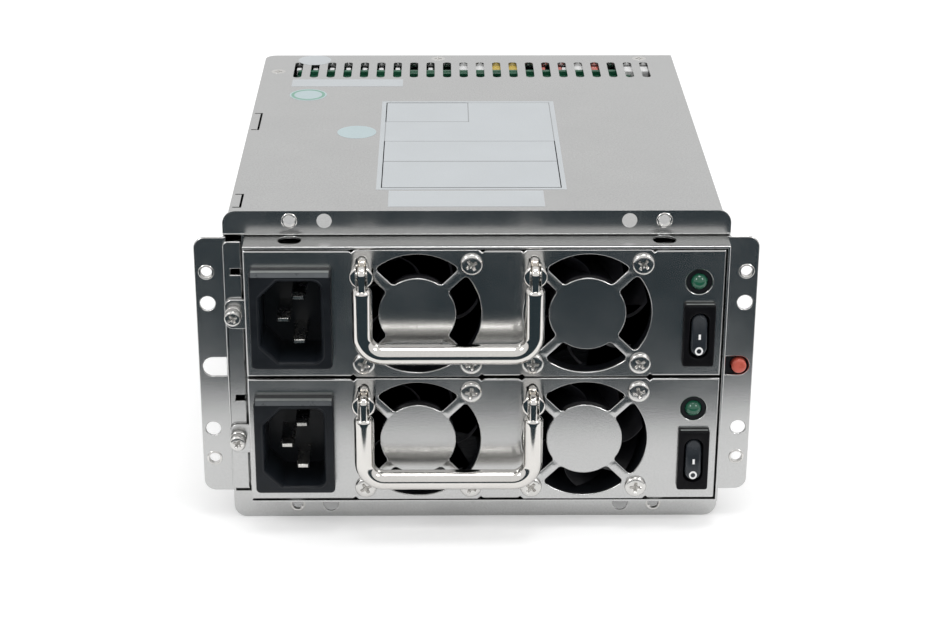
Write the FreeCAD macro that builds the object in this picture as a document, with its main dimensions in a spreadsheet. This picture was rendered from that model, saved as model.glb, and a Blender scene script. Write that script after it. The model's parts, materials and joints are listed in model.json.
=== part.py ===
# Redundant power supply: a steel cage with two identical supplies that slide out forwards.
# Millimetres. X to the right, Y to the rear, Z up. The origin is the middle of the mounting
# holes in the ears, on the front face of the flange: half way up and half way across the cage.
import FreeCAD, Part
import math
import os
from types import SimpleNamespace

import Sketcher

Vector = FreeCAD.Vector
Rotation = FreeCAD.Rotation
TINY = 0.01
OVER = 1.0
# Shares of a sheet's or a screw head's own thickness
BEND_ROUND = 0.7
HEAD_ROUND = 0.45
RECESS_DEPTH = 0.6
# Blade ends against their circle, and the backplane capacitors' places in radii
BLADE_END = 0.95
# Free height in a casing: the part below the switch, and the part above the lamp
SWITCH_SHARE = 0.33
LAMP_SHARE = 0.39
CAN_STEPS = (-8.5, -5.5, 6.5, 9.5)

DIMENSIONS = {
    "cage_width": (150.0, "width over the side walls"),
    "cage_depth": (190.0, "front lip to rear panel"),
    "sheet": (0.8, "steel of the cage, the liner and the casings"),
    "nose": (8.2, "how far the lip and the supplies stand out in front of the flange"),
    "bend_radius": (0.6, "inside of a folded edge"),
    "ear_reach": (8.9, "ear beyond the side wall"),
    "ear_margin": (1.0, "cage above and below an ear"),
    "ear_corner": (3.5, "corner of an ear"),
    "ear_hole_inset": (3.5, "ear holes in from the edge of the ear"),
    "ear_hole_rise": (20.8, "plain ear holes above and below the middle"),
    "ear_screw_rise": (30.9, "threaded ear holes above and below the middle"),
    "hole_radius": (2.25, "plain mounting hole"),
    "screw_hole_radius": (1.6, "threaded mounting hole"),
    "screw_hole_rim": (2.45, "rim of a threaded hole"),
    "notch_height": (6.1, "notch in an ear, at the middle"),
    "notch_inset": (1.2, "round end of a notch in from the edge of the ear"),
    "notch_start": (0.5, "square end of a notch off the side wall"),
    "flange_rise": (7.3, "top flange above the cage"),
    "flange_drop": (8.4, "bottom flange below the cage"),
    "flange_corner": (4.0, "corner of a flange"),
    "flange_hole_rise": (4.2, "flange holes off the cage"),
    "flange_hole_spread": (45.0, "plain flange holes from the middle"),
    "flange_screw_spread": (55.3, "threaded flange holes from the middle"),
    "lip_hole_spread": (55.2, "holes of the lip from the middle"),
    "lip_hole_radius": (3.4, "hole of the lip"),
    "lip_hole_setback": (5.4, "holes of the lip behind its front edge"),
    "lip_recess": (2.0, "the liner's left wall starts this far behind the flange"),
    "side_gap": (0.4, "room between a supply and the liner's walls"),
    "lock_channel": (4.3, "space between the cage wall and the liner for the lock bracket"),
    "plate_gap": (0.25, "room above and below a front plate"),
    "fan_room": (0.3, "fan frame to the folded edges above and below it"),
    "edge_step": (0.15, "folded edges of a front plate lie this much inside its plain edges"),
    "plate_sheet": (1.0, "steel of a front plate"),
    "plate_fold": (6.0, "depth of the folded edges of a front plate"),
    "relief": (1.3, "bend relief beside a folded edge"),
    "fan_size": (40.0, "square fan frame, which sets the height of a supply"),
    "fan_depth": (28.0, "fan frame, front to rear"),
    "fan_hole_inset": (4.0, "fan screws in from the sides of the frame"),
    "fan_corner": (3.0, "corner of a fan frame"),
    "fan_first": (51.0, "left fan's axis from the left edge of a supply"),
    "fan_pitch": (50.4, "one fan axis to the other"),
    "fan_rim": (1.0, "fan frame beside its air passage, at its thinnest"),
    "fan_clearance": (0.6, "blade tips to the air passage"),
    "fan_flange": (3.6, "end flange of a fan frame"),
    "fan_wall": (0.9, "wall of the fan's air passage between its flanges"),
    "hub_radius": (11.2, "rotor hub"),
    "blade_count": (7, "rotor blades"),
    "blade_sheet": (1.3, "thickness of a blade"),
    "blade_root": (7.0, "blade across the front, at the hub"),
    "blade_tip": (11.0, "blade across the front, at its tip"),
    "blade_depth": (13.0, "blade from front to rear"),
    "blade_bow": (1.6, "bow of a blade"),
    "rotor_setback": (1.2, "rotor hub behind the front plate"),
    "rotor_edge": (1.0, "bevelled edge of the hub"),
    "motor_room": (7.0, "hub in front of the rear of the fan"),
    "shaft_radius": (1.5, "rotor shaft"),
    "shaft_tail": (1.6, "shaft in front of the rear of the fan"),
    "strut": (2.4, "strut of the motor mount"),
    "bush_radius": (3.4, "bush of the motor mount"),
    "bush_gap": (0.3, "room round the shaft in its bush"),
    "guard_disc": (11.5, "solid disc in the middle of a guard"),
    "guard_web": (3.0, "diagonal web of a guard"),
    "guard_corner": (1.2, "corner of a guard opening"),
    "guard_side_gap": (0.2, "plain plate edge on each side of a guard"),
    "fan_screw_head": (3.35, "radius of a fan screw's head"),
    "fan_screw_rise": (1.4, "height of a fan screw's head"),
    "fan_screw_length": (10.0, "fan screw under its head"),
    "recess_slot": (0.75, "arms of a cross recess across"),
    "recess_span": (3.2, "cross recess from end to end"),
    "small_screw": (1.5, "radius of a small screw's shank"),
    "small_hole": (1.7, "radius of its hole"),
    "inlet_centre": (13.8, "inlet from the left edge of a supply"),
    "inlet_drop": (0.7, "inlet below the middle of a supply"),
    "inlet_width": (24.0, "inlet frame across"),
    "inlet_height": (30.6, "inlet frame, up and down"),
    "inlet_stand": (4.2, "inlet frame in front of the plate"),
    "inlet_corner": (1.4, "corner of the inlet frame"),
    "inlet_bevel": (1.0, "bevel along the top of the inlet frame"),
    "inlet_rim": (1.6, "inlet frame over the cut-out of the plate"),
    "inlet_depth": (22.0, "inlet body behind the front of the plate"),
    "socket_side": (3.1, "inlet frame beside its recess"),
    "socket_end": (2.5, "inlet frame above and below its recess"),
    "socket_depth": (16.0, "recess of the inlet"),
    "socket_chamfer": (5.2, "cut corners of the recess"),
    "socket_corner": (2.5, "round corners of the recess"),
    "pin_width": (4.0, "inlet blade across"),
    "pin_sheet": (2.0, "inlet blade thickness"),
    "pin_pitch": (14.0, "live blade to neutral blade"),
    "pin_offset": (2.3, "live and neutral blades off the middle, the earth blade as far the other way"),
    "pin_recess": (2.0, "tips of the blades behind the front of the inlet"),
    "pin_tail": (6.0, "blades behind the inlet body"),
    "pin_taper": (1.2, "tapered tip of a blade"),
    "pin_point": (0.6, "sides of a tapered tip"),
    "post_radius": (3.5, "handle post"),
    "post_length": (10.6, "handle post in front of the plate"),
    "post_slot": (3.1, "slot of a handle post"),
    "post_stud": (2.0, "radius of the post's stud in the plate"),
    "post_bolt": (8.0, "bolt of a handle post behind the plate"),
    "post_round": (0.6, "rounded end of a handle post"),
    "handle_axis": (8.0, "handle pins in front of the plate"),
    "handle_radius": (3.0, "handle rod"),
    "handle_bend": (6.0, "centre line of the handle's corners"),
    "handle_drop": (25.4, "pins to the handle's bar"),
    "tongue_sheet": (2.5, "flat tongue at the end of a handle leg"),
    "tongue_radius": (2.4, "round end of a tongue"),
    "tongue_length": (4.3, "pin to the shoulder of a handle leg"),
    "tongue_root": (2.0, "tongue inside its leg"),
    "tongue_room": (0.4, "room round the tongue in its post"),
    "handle_pin": (0.9, "radius of a handle pin"),
    "pin_clearance": (0.3, "tongue hole round its pin"),
    "pin_end": (0.1, "ends of a pin inside the sides of its post"),
    "leg_round": (1.5, "rounded shoulder of a handle leg"),
    "switch_inset": (7.1, "switch from the right edge of a supply"),
    "switch_width": (9.4, "switch frame across"),
    "switch_height": (20.0, "switch frame, up and down"),
    "switch_stand": (2.0, "switch frame in front of the plate"),
    "switch_corner": (0.8, "corner of the switch frame"),
    "switch_rim": (0.7, "switch frame over its cut-out"),
    "switch_depth": (14.0, "switch body behind the front of the plate"),
    "well_width": (5.6, "well of the switch across"),
    "well_height": (14.5, "well of the switch, up and down"),
    "well_depth": (10.0, "well of the switch"),
    "rocker_gap": (0.35, "rocker in its well"),
    "rocker_tilt": (-8.0, "rocker off square, with its top pressed in"),
    "rocker_axle": (0.9, "radius of the rocker's axle"),
    "axle_gap": (0.25, "room round the rocker's axle"),
    "axle_seat": (0.6, "axle in the walls of the well"),
    "axle_play": (0.2, "room at each end of the axle"),
    "rocker_setback": (0.6, "rocker's axis behind the front of the plate"),
    "rocker_crown": (3.6, "rocker's middle in front of its axis"),
    "rocker_end": (2.3, "rocker's ends in front of its axis"),
    "rocker_back": (0.8, "rocker's ends behind its axis"),
    "rocker_belly": (3.0, "rocker's middle behind its axis, and half its length"),
    "led_inset": (7.6, "lamp from the right edge of a supply"),
    "led_hole": (3.9, "radius of the lamp's hole"),
    "led_radius": (2.5, "lamp"),
    "led_length": (6.0, "lamp's straight part"),
    "led_recess": (1.0, "holder behind the front of the plate"),
    "led_stand": (1.6, "tip of the lamp in front of the plate"),
    "holder_sheet": (0.6, "face of the lamp holder"),
    "holder_rim": (1.2, "lamp holder round its hole, behind the plate"),
    "holder_depth": (5.0, "lamp holder behind the plate"),
    "tab_drop": (2.5, "lock tab below the middle of a supply"),
    "tab_height": (9.5, "lock tab, up and down"),
    "tab_reach": (6.5, "lock tab beyond the left edge of a supply"),
    "tab_corner": (2.4, "corner of the lock tab"),
    "tab_gap": (0.3, "room between a lock tab and the bracket"),
    "lock_axis": (3.9, "lock screw from the left edge of a supply"),
    "lock_head": (2.5, "radius of the lock screw's head"),
    "lock_head_rise": (2.2, "height of the lock screw's head"),
    "lock_collar": (2.6, "radius of the lock screw's collar"),
    "lock_collar_sheet": (0.8, "height of the lock screw's collar"),
    "lock_neck": (1.9, "radius of the lock screw between its collar and its head"),
    "lock_neck_length": (0.8, "length of that neck"),
    "lock_length": (3.0, "lock screw under its collar"),
    "bracket_sheet": (1.0, "steel of the lock bracket"),
    "bracket_room": (1.2, "lock bracket inside the cage, above and below"),
    "bracket_overlap": (0.2, "lock bracket beyond the outside of the side wall"),
    "bracket_corner": (1.6, "corner of the lock bracket"),
    "bracket_leg": (14.0, "leg of the lock bracket behind the flange"),
    "bracket_leg_room": (1.0, "leg inside the ends of the bracket"),
    "bracket_notch": (2.0, "notch in the bracket, up and down"),
    "bracket_notch_depth": (3.2, "notch in the bracket across"),
    "bracket_notch_rise": (10.7, "notch above the middle of each supply"),
    "divider_sheet": (0.6, "shelf between the supplies"),
    "divider_gap": (1.0, "shelf behind the fans"),
    "rear_room": (14.8, "backplane board to the rear panel"),
    "board_sheet": (1.6, "circuit boards"),
    "board_margin": (2.0, "backplane board inside the cage, above and below"),
    "backplane_left": (11.2, "backplane board in from the left wall"),
    "backplane_right": (15.2, "backplane board in from the right wall"),
    "backplane_tongue": (40.0, "raised middle of the backplane board across"),
    "backplane_step": (1.2, "height of that raised middle"),
    "socket_block": (8.0, "depth of a backplane socket"),
    "liner_room": (16.0, "open space between the liner and the backplane board"),
    "casing_room": (13.0, "open space between a casing and the backplane board"),
    "finger_depth": (7.0, "edge connector's tongue inside its socket"),
    "connector_width": (46.0, "edge connector across"),
    "connector_height": (9.0, "edge connector, up and down"),
    "connector_gap": (0.4, "room round the edge connector's tongue"),
    "connector_drop": (4.0, "edge connector below the middle of a supply"),
    "connector_rim": (2.5, "backplane socket round the tongue, above and below"),
    "connector_ends": (4.0, "backplane socket beyond each end of the tongue"),
    "standoff_radius": (3.0, "backplane standoff"),
    "standoff_inset": (8.0, "standoff in from the ends of the backplane board"),
    "standoff_level": (11.0, "standoff inside the cage, above and below"),
    "outlet_radius": (13.0, "cable outlet in the rear panel"),
    "outlet_drop": (8.0, "cable outlet below the middle of the cage"),
    "grommet_lip": (2.0, "grommet over the edge of the outlet"),
    "grommet_bore": (10.5, "bore of the grommet"),
    "grommet_sheet": (1.8, "grommet's lips, front to rear"),
    "can_radius": (4.0, "small capacitor"),
    "can_length": (11.0, "small capacitor on the backplane"),
    "can_drop": (6.0, "small capacitors below the top of the backplane"),
    "buzzer_radius": (6.0, "alarm buzzer"),
    "buzzer_length": (9.5, "alarm buzzer off the board"),
    "buzzer_hole": (1.2, "sound hole of the buzzer"),
    "buzzer_x": (4.0, "alarm buzzer right of the middle"),
    "vent_count": (22, "slots of the top cover"),
    "vent_pitch": (6.0, "one slot to the next"),
    "vent_width": (3.0, "slot across"),
    "vent_length": (18.3, "slot, front to rear"),
    "vent_inset": (9.0, "slots in front of the rear edge"),
    "vent_shift": (0.8, "middle of the slots right of the cage's middle"),
    "cover_corner": (4.0, "rear left corner of the cover"),
    "cover_screw_head": (2.6, "radius of a cover screw's head"),
    "cover_screw_length": (5.0, "cover screw under the top of the cage"),
    "cover_screw_slot": (0.7, "slots of a cover screw's head across"),
    "side_screw_inset": (5.7, "side screw of the cover in from the left"),
    "side_screw_setback": (20.0, "side screw of the cover in front of the rear"),
    "rear_screw_left": (63.6, "rear screw of the cover in from the left"),
    "rear_screw_right": (12.2, "rear screw of the cover in from the right"),
    "rear_screw_setback": (4.2, "rear screws of the cover in front of the rear"),
    "cover_tab": (10.6, "tab under the side screw, front to rear"),
    "cover_tab_reach": (9.2, "tab under the side screw across"),
    "cover_ledge": (8.2, "ledge under the rear screws, front to rear"),
    "lance_slit": (0.7, "slit of the lances in the cover"),
    "lance_edge": (0.9, "lances in from the left edge of the cover"),
    "lance_width": (2.7, "lance across"),
    "front_lance": (22.3, "front lance behind the flange"),
    "front_lance_length": (12.0, "front lance, front to rear"),
    "rear_lance": (95.8, "rear lance behind the flange"),
    "rear_lance_length": (18.0, "rear lance, front to rear"),
    "button_radius": (2.3, "alarm button"),
    "button_stand": (1.0, "alarm button in front of the flange"),
    "button_shift": (0.8, "alarm button nearer the wall than the ear's holes"),
    "button_round": (0.8, "rounded end of the alarm button"),
    "button_gap": (0.3, "alarm button in its switch"),
    "button_body": (8.2, "alarm switch body"),
    "button_bore": (5.0, "depth of the bore in the alarm switch"),
    "button_room": (1.6, "alarm button off the bottom of its bore"),
    "mcb_rise": (4.5, "main board above the bottom of a casing"),
    "part_gap": (2.0, "board edge to the casing wall"),
    "board_setback": (4.0, "main board behind the fans"),
    "casing_vent": (3.0, "rear vent slot of a casing across"),
    "casing_vent_height": (22.0, "rear vent slot of a casing, up and down"),
    "casing_vent_pitch": (6.0, "rear vent slots, one to the next"),
    "casing_vent_start": (32.0, "first rear vent slot from the middle"),
    "boss_radius": (2.6, "boss under the main board"),
    "boss_inset": (10.0, "bosses in from the side walls"),
    "boss_setback": (12.0, "bosses in from the fans and from the rear wall"),
    "lid_lip": (6.0, "lips of a lid below the roof"),
    "lid_lip_room": (4.0, "lips of a lid in from its ends"),
    "fan_bay_room": (0.5, "room round the fans in the casing"),
    "sink_width": (16.0, "heat sink across"),
    "sink_height": (25.0, "heat sink above the board"),
    "sink_web": (1.0, "upright web of a heat sink"),
    "fin_pitch": (4.2, "heat sink fins, one to the next"),
    "fin_gap": (2.6, "space between two fins"),
    "fin_count": (5, "spaces up each side of a heat sink"),
    "fin_foot": (4.0, "foot of a heat sink"),
    "core_width": (27.0, "transformer core across"),
    "core_depth": (30.0, "transformer core, front to rear"),
    "core_height": (24.0, "transformer core above the board"),
    "winding_width": (33.0, "transformer winding across"),
    "winding_depth": (18.0, "transformer winding, front to rear"),
    "winding_inset": (3.0, "winding below the top and above the foot of the core"),
    "bulk_radius": (9.0, "large capacitor"),
    "bulk_height": (24.0, "large capacitor above the board"),
    "output_height": (18.0, "small capacitor above the board"),
}

doc = FreeCAD.newDocument("RedundantSupply")
sheet = doc.addObject("Spreadsheet::Sheet", "Sizes")
for row, (alias, (number, meaning)) in enumerate(DIMENSIONS.items(), start=1):
    sheet.set(f"A{row}", meaning)
    sheet.set(f"B{row}", str(number))
    sheet.setAlias(f"B{row}", alias)
doc.recompute()


class Size:
    """A number from the sheet, or a sum of such numbers, with the expression that gives it."""

    def __init__(self, text, number):
        self.text = text
        self.number = float(number)

    def __add__(self, other):
        return joined(self, "+", other, self.number + float(other))

    def __radd__(self, other):
        return joined(other, "+", self, float(other) + self.number)

    def __sub__(self, other):
        return joined(self, "-", other, self.number - float(other))

    def __rsub__(self, other):
        return joined(other, "-", self, float(other) - self.number)

    def __mul__(self, other):
        return joined(self, "*", other, self.number * float(other))

    def __rmul__(self, other):
        return joined(other, "*", self, float(other) * self.number)

    def __truediv__(self, other):
        return joined(self, "/", other, self.number / float(other))

    def __neg__(self):
        return Size(f"(0 - {self.text})", -self.number)

    def __float__(self):
        return self.number


def text_of(value):
    """The expression of a size, or a plain number in brackets."""
    return value.text if isinstance(value, Size) else f"({float(value)})"


def joined(left, sign, right, number):
    """Two sizes joined by a sign."""
    return Size(f"({text_of(left)} {sign} {text_of(right)})", number)


def bind(thing, path, value):
    """Ties a property to a size."""
    thing.setExpression(path, text_of(value))


S = SimpleNamespace(**{name: Size(f"Sizes.{name}", row[0]) for name, row in DIMENSIONS.items()})
TURNS = {
    "x": Rotation(Vector(0, 1, 0), 90),
    "y": Rotation(Vector(1, 0, 0), -90),
    "z": Rotation(),
}


def box(x, y, z):
    """A block between two limits on each axis."""
    block = doc.addObject("Part::Box", "Block")
    for axis, side, (low, high) in zip("xyz", ("Length", "Width", "Height"), (x, y, z)):
        bind(block, side, high - low)
        bind(block, f"Placement.Base.{axis}", low)
    return block


def about(middle, extent):
    """Two limits at the same distance from a middle."""
    return (middle - extent / 2, middle + extent / 2)


def put(thing, x=0.0, y=0.0, z=0.0, turn=None):
    """Places a thing, and turns it about its own origin."""
    thing.Placement = FreeCAD.Placement(Vector(), turn or Rotation())
    for axis, value in zip("xyz", (x, y, z)):
        bind(thing, f"Placement.Base.{axis}", value)
    return thing


def cylinder(axis, radius, start, length):
    """A cylinder that runs from a point in the direction of an axis."""
    rod = doc.addObject("Part::Cylinder", "Rod")
    bind(rod, "Radius", radius)
    bind(rod, "Height", length)
    return put(rod, *start, turn=TURNS[axis])


def cone(axis, radius_1, radius_2, start, length):
    """A cone that runs from a point in the direction of an axis."""
    taper = doc.addObject("Part::Cone", "Taper")
    bind(taper, "Radius1", radius_1)
    bind(taper, "Radius2", radius_2)
    bind(taper, "Height", length)
    return put(taper, *start, turn=TURNS[axis])


def fused(*shapes):
    """Several shapes as one."""
    if len(shapes) == 1:
        return shapes[0]
    union = doc.addObject("Part::MultiFuse", "Union")
    union.Shapes = list(shapes)
    union.Refine = True
    return union


def cut(base, *tools):
    """A shape less its tools."""
    rest = doc.addObject("Part::Cut", "Rest")
    rest.Base = base
    rest.Tool = fused(*tools)
    rest.Refine = True
    return rest


def common(first, second):
    """What two shapes share."""
    shared = doc.addObject("Part::Common", "Shared")
    shared.Base = first
    shared.Tool = second
    return shared


def group(*shapes):
    """Solids that stay apart, as one thing."""
    bundle = doc.addObject("Part::Compound", "Bundle")
    bundle.Links = list(shapes)
    return bundle


def is_straight(edge, axis, **places):
    """Tells whether an edge runs straight along an axis, at the given places on the others."""
    bounds = edge.BoundBox
    spans = {"x": bounds.XLength, "y": bounds.YLength, "z": bounds.ZLength}
    middles = {"x": bounds.Center.x, "y": bounds.Center.y, "z": bounds.Center.z}
    runs = all((span > TINY) == (name == axis) for name, span in spans.items())
    return runs and all(abs(middles[name] - float(place)) < TINY for name, place in places.items())


def rounded(base, radius, *picks):
    """A shape with rounded edges: each pick is an axis and the places of the edge."""
    doc.recompute()
    soft = doc.addObject("Part::Fillet", "Rounded")
    soft.Base = base
    soft.Edges = [
        (number, float(radius), float(radius))
        for number, edge in enumerate(base.Shape.Edges, start=1)
        if any(is_straight(edge, axis, **places) for axis, places in picks)
    ]
    return soft


def round_rims(base, radius, axis, place):
    """A shape with its round rims softened where they lie square to an axis at one place."""
    doc.recompute()
    soft = doc.addObject("Part::Fillet", "Rounded")
    soft.Base = base
    length = {"x": "XLength", "y": "YLength", "z": "ZLength"}[axis]
    soft.Edges = [
        (number, float(radius), float(radius))
        for number, edge in enumerate(base.Shape.Edges, start=1)
        if isinstance(edge.Curve, Part.Circle)
        and getattr(edge.BoundBox, length) < TINY
        and abs(getattr(edge.BoundBox.Center, axis) - float(place)) < TINY
    ]
    return soft


def body(label):
    """An empty body for sketched features."""
    return doc.addObject("PartDesign::Body", "Body_" + label)


def sketch_on(owner, role, offset=0.0):
    """A sketch on one of the body's own origin planes, moved along the plane's normal."""
    drawing = owner.newObject("Sketcher::SketchObject", "Outline")
    plane = next(item for item in owner.Origin.OriginFeatures if item.Role == role)
    drawing.AttachmentSupport = [(plane, "")]
    drawing.MapMode = "FlatFace"
    bind(drawing, "AttachmentOffset.Base.z", offset)
    return drawing


def hold(drawing, kind, geometry, point, value):
    """Ties a point of a sketch to the sketch's origin."""
    number = drawing.addConstraint(Sketcher.Constraint(kind, -1, 1, geometry, point, float(value)))
    bind(drawing, f"Constraints[{number}]", value)


def polygon(drawing, corners):
    """A closed outline of straight lines, with every corner tied to its size."""
    first = drawing.GeometryCount
    points = [Vector(float(x), float(y), 0) for x, y in corners]
    for start, end in zip(points, points[1:] + points[:1]):
        drawing.addGeometry(Part.LineSegment(start, end))
    for index in range(len(points)):
        after = (index + 1) % len(points)
        drawing.addConstraint(Sketcher.Constraint("Coincident", first + index, 2, first + after, 1))
    for index, (x, y) in enumerate(corners):
        hold(drawing, "DistanceX", first + index, 1, x)
        hold(drawing, "DistanceY", first + index, 1, y)


def circle(drawing, x, y, radius):
    """A circle tied to its centre and radius."""
    ring = drawing.addGeometry(Part.Circle(Vector(float(x), float(y), 0), Vector(0, 0, 1), float(radius)))
    number = drawing.addConstraint(Sketcher.Constraint("Radius", ring, float(radius)))
    bind(drawing, f"Constraints[{number}]", radius)
    hold(drawing, "DistanceX", ring, 3, x)
    hold(drawing, "DistanceY", ring, 3, y)


def feature(owner, kind, drawing, size=None, backwards=False):
    """A sketched feature: a pad or pocket of a length, or a revolution by an angle."""
    made = owner.newObject("PartDesign::" + kind, kind)
    made.Profile = drawing
    if size is not None:
        bind(made, "Length", size)
    made.Reversed = backwards
    return made


def rectangle(drawing, x, y):
    """A rectangle between two limits each way."""
    polygon(drawing, [(x[0], y[0]), (x[1], y[0]), (x[1], y[1]), (x[0], y[1])])


def soften(owner, radius, kind, *picks):
    """Fillets or chamfers on the tip of a body, on the straight edges that are picked."""
    doc.recompute()
    base = owner.Tip
    names = [
        f"Edge{number}"
        for number, edge in enumerate(base.Shape.Edges, start=1)
        if any(is_straight(edge, axis, **places) for axis, places in picks)
    ]
    made = owner.newObject("PartDesign::" + kind, kind)
    made.Base = (base, names)
    bind(made, "Radius" if kind == "Fillet" else "Size", radius)
    return made


nodes = []


def node(thing, label, rise=None):
    """Names a finished piece, and lifts it to its bay."""
    thing.Label = label
    if rise is not None:
        bind(thing, "Placement.Base.z", rise)
    nodes.append(thing)
    return thing


# Places that several pieces share
half_width = S.cage_width / 2
front = -S.nose
back = S.cage_depth - S.nose
pan_half = S.fan_size / 2 + S.fan_room
plate_half = pan_half + S.edge_step
bay_top = 2 * (plate_half + S.plate_gap)
inside_top = bay_top + S.sheet
half_height = inside_top + S.sheet
bay_middle = S.plate_gap + plate_half
liner_right = half_width - S.sheet
liner_left = -(liner_right - S.lock_channel)
supply_left = liner_left + S.sheet + S.side_gap
supply_right = liner_right - S.sheet - S.side_gap
casing_half = pan_half - S.plate_sheet
casing_left = supply_left + S.plate_sheet
casing_right = supply_right - S.plate_sheet
casing_inner = casing_half - S.sheet
switch_reach = S.switch_height / 2 - S.switch_rim
lamp_reach = S.led_hole + S.holder_rim
spare_height = 2 * (casing_inner - switch_reach - lamp_reach)
switch_level = -casing_inner + SWITCH_SHARE * spare_height + switch_reach
lamp_level = casing_inner - LAMP_SHARE * spare_height - lamp_reach
plate_back = front + S.plate_sheet
fan_back = plate_back + S.fan_depth
ear_edge = half_width + S.ear_reach
ear_hole_x = ear_edge - S.ear_hole_inset
ear_half = half_height - S.ear_margin
board_face = back - S.sheet - S.rear_room - S.board_sheet
casing_back = board_face - S.casing_room
fold = S.bend_radius + S.sheet
fan_bore = S.fan_size / 2 - S.fan_rim
fan_spread = S.fan_size / 2 - S.fan_hole_inset
fan_places = {"left": supply_left + S.fan_first, "right": supply_left + S.fan_first + S.fan_pitch}
handle_y = front - S.handle_axis
lock_x = supply_left - S.lock_axis
tab_front = -(S.bracket_sheet + S.tab_gap + S.plate_sheet)
bracket_half = inside_top - S.bracket_room
side_screw = (-half_width + S.side_screw_inset, back - S.side_screw_setback)
rear_screws = [
    (-half_width + S.rear_screw_left, back - S.rear_screw_setback),
    (half_width - S.rear_screw_right, back - S.rear_screw_setback),
]
backplane_ends = (-liner_right + S.backplane_left, liner_right - S.backplane_right)


def threaded_hole(x, z):
    """A hole through the flange with a countersunk rim at its front."""
    hole = cylinder("y", S.screw_hole_radius, (x, -OVER, z), S.sheet + 2 * OVER)
    rim = cone("y", S.screw_hole_rim, S.screw_hole_radius, (x, 0.0, z), S.sheet / 2)
    return fused(hole, rim)


def plain_hole(x, z):
    """A plain hole through the flange."""
    return cylinder("y", S.hole_radius, (x, -OVER, z), S.sheet + 2 * OVER)


def cage_tray():
    """Floor, side walls, ears and bottom flange."""
    floor = box((-half_width, half_width), (0.0, back), (-half_height, -inside_top))
    walls = [
        box((x, x + S.sheet), (0.0, back), (-inside_top, inside_top))
        for x in (-half_width, half_width - S.sheet)
    ]
    ears = []
    for low, high, edge in ((-ear_edge, -half_width, -ear_edge), (half_width, ear_edge, ear_edge)):
        ear = box((low, high), (0.0, S.sheet), (-ear_half, ear_half))
        picks = [("y", {"x": edge, "z": z}) for z in (-ear_half, ear_half)]
        ears.append(rounded(ear, S.ear_corner, *picks))
    bottom = -half_height - S.flange_drop
    skirt = box((-half_width, half_width), (0.0, S.sheet), (bottom, -half_height))
    ends = (-half_width, half_width)
    flange = rounded(skirt, S.flange_corner, *[("y", {"x": x, "z": bottom}) for x in ends])
    inner = -half_width + S.sheet
    x, y = side_screw
    tab = box((inner, inner + S.cover_tab_reach), about(y, S.cover_tab), (inside_top - S.sheet, inside_top))
    tools = []
    for side in (-1, 1):
        for level in (-1, 1):
            tools.append(plain_hole(side * ear_hole_x, level * S.ear_hole_rise))
            tools.append(threaded_hole(side * ear_hole_x, level * S.ear_screw_rise))
        end = ear_edge - S.notch_inset - S.notch_height / 2
        tools.append(cylinder("y", S.notch_height / 2, (side * end, -OVER, 0.0), S.sheet + 2 * OVER))
        start = half_width + S.notch_start
        reach = (start, end) if side > 0 else (-end, -start)
        tools.append(box(reach, (-OVER, S.sheet + OVER), about(0.0, S.notch_height)))
        level = -half_height - S.flange_hole_rise
        tools.append(plain_hole(side * S.flange_hole_spread, level))
        tools.append(threaded_hole(side * S.flange_screw_spread, level))
    tools.append(cylinder("z", S.small_screw, (x, y, inside_top - S.sheet - OVER), S.sheet + 2 * OVER))
    node(cut(fused(floor, *walls, *ears, flange, tab), *tools), "cage_tray")


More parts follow.
